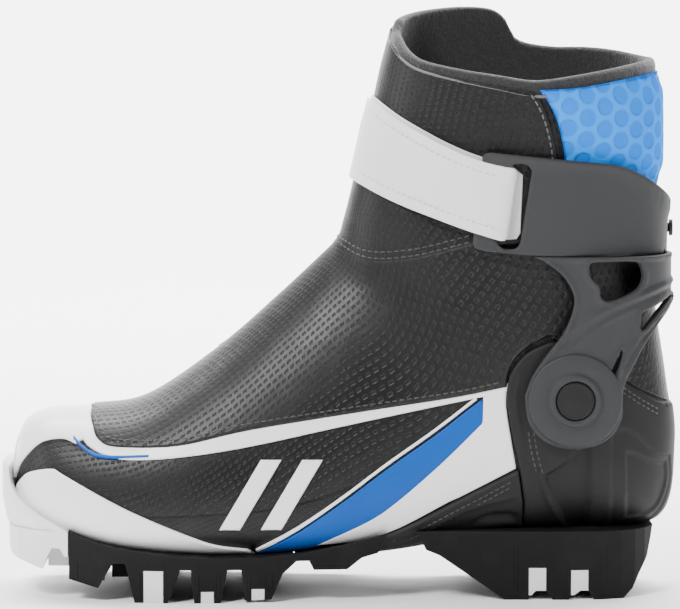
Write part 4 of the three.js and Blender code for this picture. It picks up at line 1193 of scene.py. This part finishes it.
# x and half width of the sole
SOLE_PLAN = np.array([
    [-118, 42], [-92, 47.3], [-62, 48.5], [-30, 45.5], [30, 38.5], [60, 37], [90, 38], [115, 36.5],
    [130, 29],
])


def rib_points(x, y, side, top, low):
    """Half rings of seven points down one rib, narrow at both ends."""
    ends = ((0, 0.1), (0.8, 0.8), (2, 1.0))
    for z, wide in [(top - in_by, w) for in_by, w in ends] + [(low + in_by, w) for in_by, w in ends[::-1]]:
        for turn in np.linspace(0, math.pi, 7):
            out = 0.55 * math.sin(turn) * wide - 0.25
            across = 0.75 * math.cos(turn) * wide
            yield ((x + across) * MM * LENGTH, (y + side * out) * MM * WIDTH, z * MM * HEIGHT)


def make_lug_ribs():
    """Upright ribs with rounded ends on the sides of the lugs."""
    for side, name in SIDES:
        points, faces = [], []
        for x0, x1, top, low in LUGS:
            middle = (x0 + x1) / 2
            for x in (x0 + 1.6, middle + 3.2, x1 - 1.6) if x0 < 0 else (middle,):
                toe_in = 3 * (1 - smooth(-150, -30, np.array(x)))
                y = toe_in + side * np.interp(x, SOLE_PLAN[:, 0], SOLE_PLAN[:, 1])
                starts = [len(points) + r * 7 + k for r in range(5) for k in range(6)]
                faces += [(a, a + 1, a + 8, a + 7)[::side] for a in starts]
                points += rib_points(x, y, side, top, low)
        dress(mesh_object(f"lug_ribs_{name}", points, faces), "sole_rubber", "boot")


# ------------------------------------------------------------------ strap
STRAP_TOP = [[16.9, 217], [28, 208.5], [42, 200.4], [52, 195.5], [61, 192], [68, 190.2], [73.5, 189.2]]
STRAP_LOW = [[7.4, 181], [22.6, 173.4], [42, 165.6], [58, 160.3], [70.5, 157]]


def flap_rise(points, gap):
    """The flap climbs over the band's bar and dives into the slot behind it."""
    lift = 3.9 * smooth(26, 46, points[:, 0] / LENGTH)
    slant = behind_slot(points[:, 0] / LENGTH, points[:, 2] / HEIGHT)
    lift = (lift - 4.2 * smooth(1.0, 4.4, slant) ** 1.5) * (points[:, 1] < 0)
    return lift, lift


def base_rise(points, gap):
    lift = 2.0 * smooth(26, 46, points[:, 0] / LENGTH) * (points[:, 1] > 0)
    return lift, lift


def on_flap(flat, grow):
    return on_last(flat, grow + flap_rise(on_last(flat, 0.0) / MM, 0)[0])


def make_flap():
    near = flat_from_side(outline(
        STRAP_LOW[0], STRAP_LOW[1:], [[72.6, 157.4], [73.6, 159.8]], [77.2, 186],
        [[77, 188], [75.5, 188.9]], STRAP_TOP[-2::-1],
    ))
    near[[0, -1], 1] = CROWN * STEP_V
    ends = np.linspace(near[-1, 0], near[0, 0], 14)[1:-1]
    far = np.stack([ends, np.full(len(ends), (CROWN + 0.42) * STEP_V)], 1)
    flap = plate("strap_flap_cover", [np.concatenate([near, far])], 3.3, 4.6, edge=0.6, step=2.4, both=True,
                 shape=flap_rise)
    dress(flap, "strap_web", "strap", ["strap_flap"])
    for name, points, way in (("upper", STRAP_TOP, -1), ("lower", STRAP_LOW, 1)):
        line = np.array(run(points))
        tangent = np.gradient(line, axis=0)
        tangent /= np.linalg.norm(tangent, axis=1)[:, None]
        line = line + 4.6 * way * np.stack([-tangent[:, 1], tangent[:, 0]], 1)
        seam(f"strap_stitches_{name}", flat_from_side(line)[2:-2], 4.62, "thread_white", "strap_web", "strap",
             surface=on_flap, pitch=2.9, size=1.9, radius=0.26)


def make_strap_base():
    low = [[x, z + 0.6] for x, z in STRAP_LOW]
    high = [[x, z + 1.9] for x, z in STRAP_TOP]
    lateral = outline(low[0], low[1:], [77, 158], [78.6, 160.6], [79.5, 186], high[-1], high[-2::-1])
    medial = outline(
        low[0], low[1:-1], [71.5, 158], [71.5, 190], [61, 193.9],
        [[52, 197.4], [42, 202.3], [28, 210.4], [16.9, 218.9]],
    )
    base = plate("strap_base_cover", [wrap(lateral, medial)], 2.05, 2.95, edge=0.4, step=2.6, both=True,
                 shape=base_rise)
    dress(base, "strap_web", "cuff", ["strap_base"])


# ------------------------------------------------------------------ put together
make_upper()
make_lining()
make_cover()
make_zip()
make_collar()
make_pad()
make_toe_film()
for side, name in SIDES:
    make_side_films(side, name)
make_marks()
make_heel_panel()
make_flap()
make_strap_base()
make_counter()
make_shank()
make_cuff()
make_band()
make_tongues()
make_lug_ribs()

MATERIAL_OF = {
    "insole": "fleece", "zip_tape": "softshell_cover", "shank": "moulded_counter",
    "heel_counter": "moulded_counter", "cuff": "moulded_cuff", "band": "moulded_cuff",
    "ankle_pin": "moulded_cuff", "forefoot_sole": "sole_rubber", "heel_sole": "sole_rubber",
    "toe_bumper": "white_rubber", "tread_insert": "white_rubber", "binding_bar": "steel",
    "zip_slider": "steel", "zip_pull": "steel", "band_screw": "steel", "strap_rivet": "steel",
}
for name, node in frame["nodes"].items():
    look = next((look for start, look in MATERIAL_OF.items() if name.startswith(start)), None)
    if look and not node.hide_render:
        node.data.materials.clear()
        node.data.materials.append(LOOKS[look])
        node.data.shade_smooth()
        node.data.set_sharp_from_angle(angle=math.radians(32))


# ------------------------------------------------------------------ studio and camera
MIDDLE = (0, 0, 0.12)
# name, place, target, width, power, height
SOFTBOXES = [
    ("key_softbox", (-0.65, -0.9, 1.15), MIDDLE, 0.42, 27, 0.42),
    ("side_softbox", (0.95, -0.75, 0.65), MIDDLE, 0.4, 6, 0.4),
    ("front_softbox", (-1.2, -0.15, 0.45), MIDDLE, 0.5, 5, 0.5),
    ("top_softbox", (0.15, 0.25, 1.4), MIDDLE, 0.8, 11, 0.8),
    ("backdrop_softbox", (0, 1.0, 2.2), (0, 2.7, 0.4), 3.0, 420, 1.0),
]
FLOOR_FROM, BEND_FROM, BEND_RADIUS, WALL_TOP, BACKDROP_HALF = -4.0, 1.9, 1.1, 3.4, 5
CAMERA_TARGET, CAMERA_AWAY, CAMERA_LENS = Vector((0.0004, 0.0, 0.1266)), 1.5975, 190


def aim(thing, target):
    thing.rotation_euler = (Vector(target) - thing.location).to_track_quat("-Z", "Y").to_euler()


def make_backdrop():
    """A white floor that curves up into a wall far behind the boot."""
    rows = [(FLOOR_FROM, 0.0), (BEND_FROM, 0.0)]
    for turn in np.linspace(0.1, CROWN, 14):
        rows.append((BEND_FROM + BEND_RADIUS * math.sin(turn), BEND_RADIUS * (1 - math.cos(turn))))
    rows.append((BEND_FROM + BEND_RADIUS, WALL_TOP))
    points = [(x, y, z) for y, z in rows for x in (-BACKDROP_HALF, BACKDROP_HALF)]
    faces = [(i, i + 1, i + 3, i + 2) for i in range(0, 2 * len(rows) - 2, 2)]
    backdrop = mesh_object("studio_backdrop", points, faces)
    backdrop.data.materials.append(Look("studio_paper", (0.95, 0.95, 0.95), 0.9).material)


def make_lights():
    world = bpy.data.worlds.new("studio")
    world.use_nodes = True
    world.node_tree.nodes["Background"].inputs["Color"].default_value = (0.97, 0.98, 1.0, 1)
    world.node_tree.nodes["Background"].inputs["Strength"].default_value = 0.12
    SCENE.world = world
    for name, place, target, width, power, height in SOFTBOXES:
        lamp = bpy.data.lights.new(name, "AREA")
        lamp.energy = power
        lamp.shape, lamp.size, lamp.size_y = "RECTANGLE", width, height
        made = bpy.data.objects.new(name, lamp)
        made.location = place
        aim(made, target)
        SCENE.collection.objects.link(made)


def make_camera():
    lens = bpy.data.cameras.new("camera")
    lens.lens, lens.sensor_width = CAMERA_LENS, 36
    eye = bpy.data.objects.new("camera", lens)
    elevation = math.radians(4.5)
    eye.location = CAMERA_TARGET + Vector((0, -math.cos(elevation), math.sin(elevation))) * CAMERA_AWAY
    aim(eye, CAMERA_TARGET)
    SCENE.collection.objects.link(eye)
    SCENE.camera = eye


make_backdrop()
make_lights()
make_camera()
bpy.context.view_layer.update()
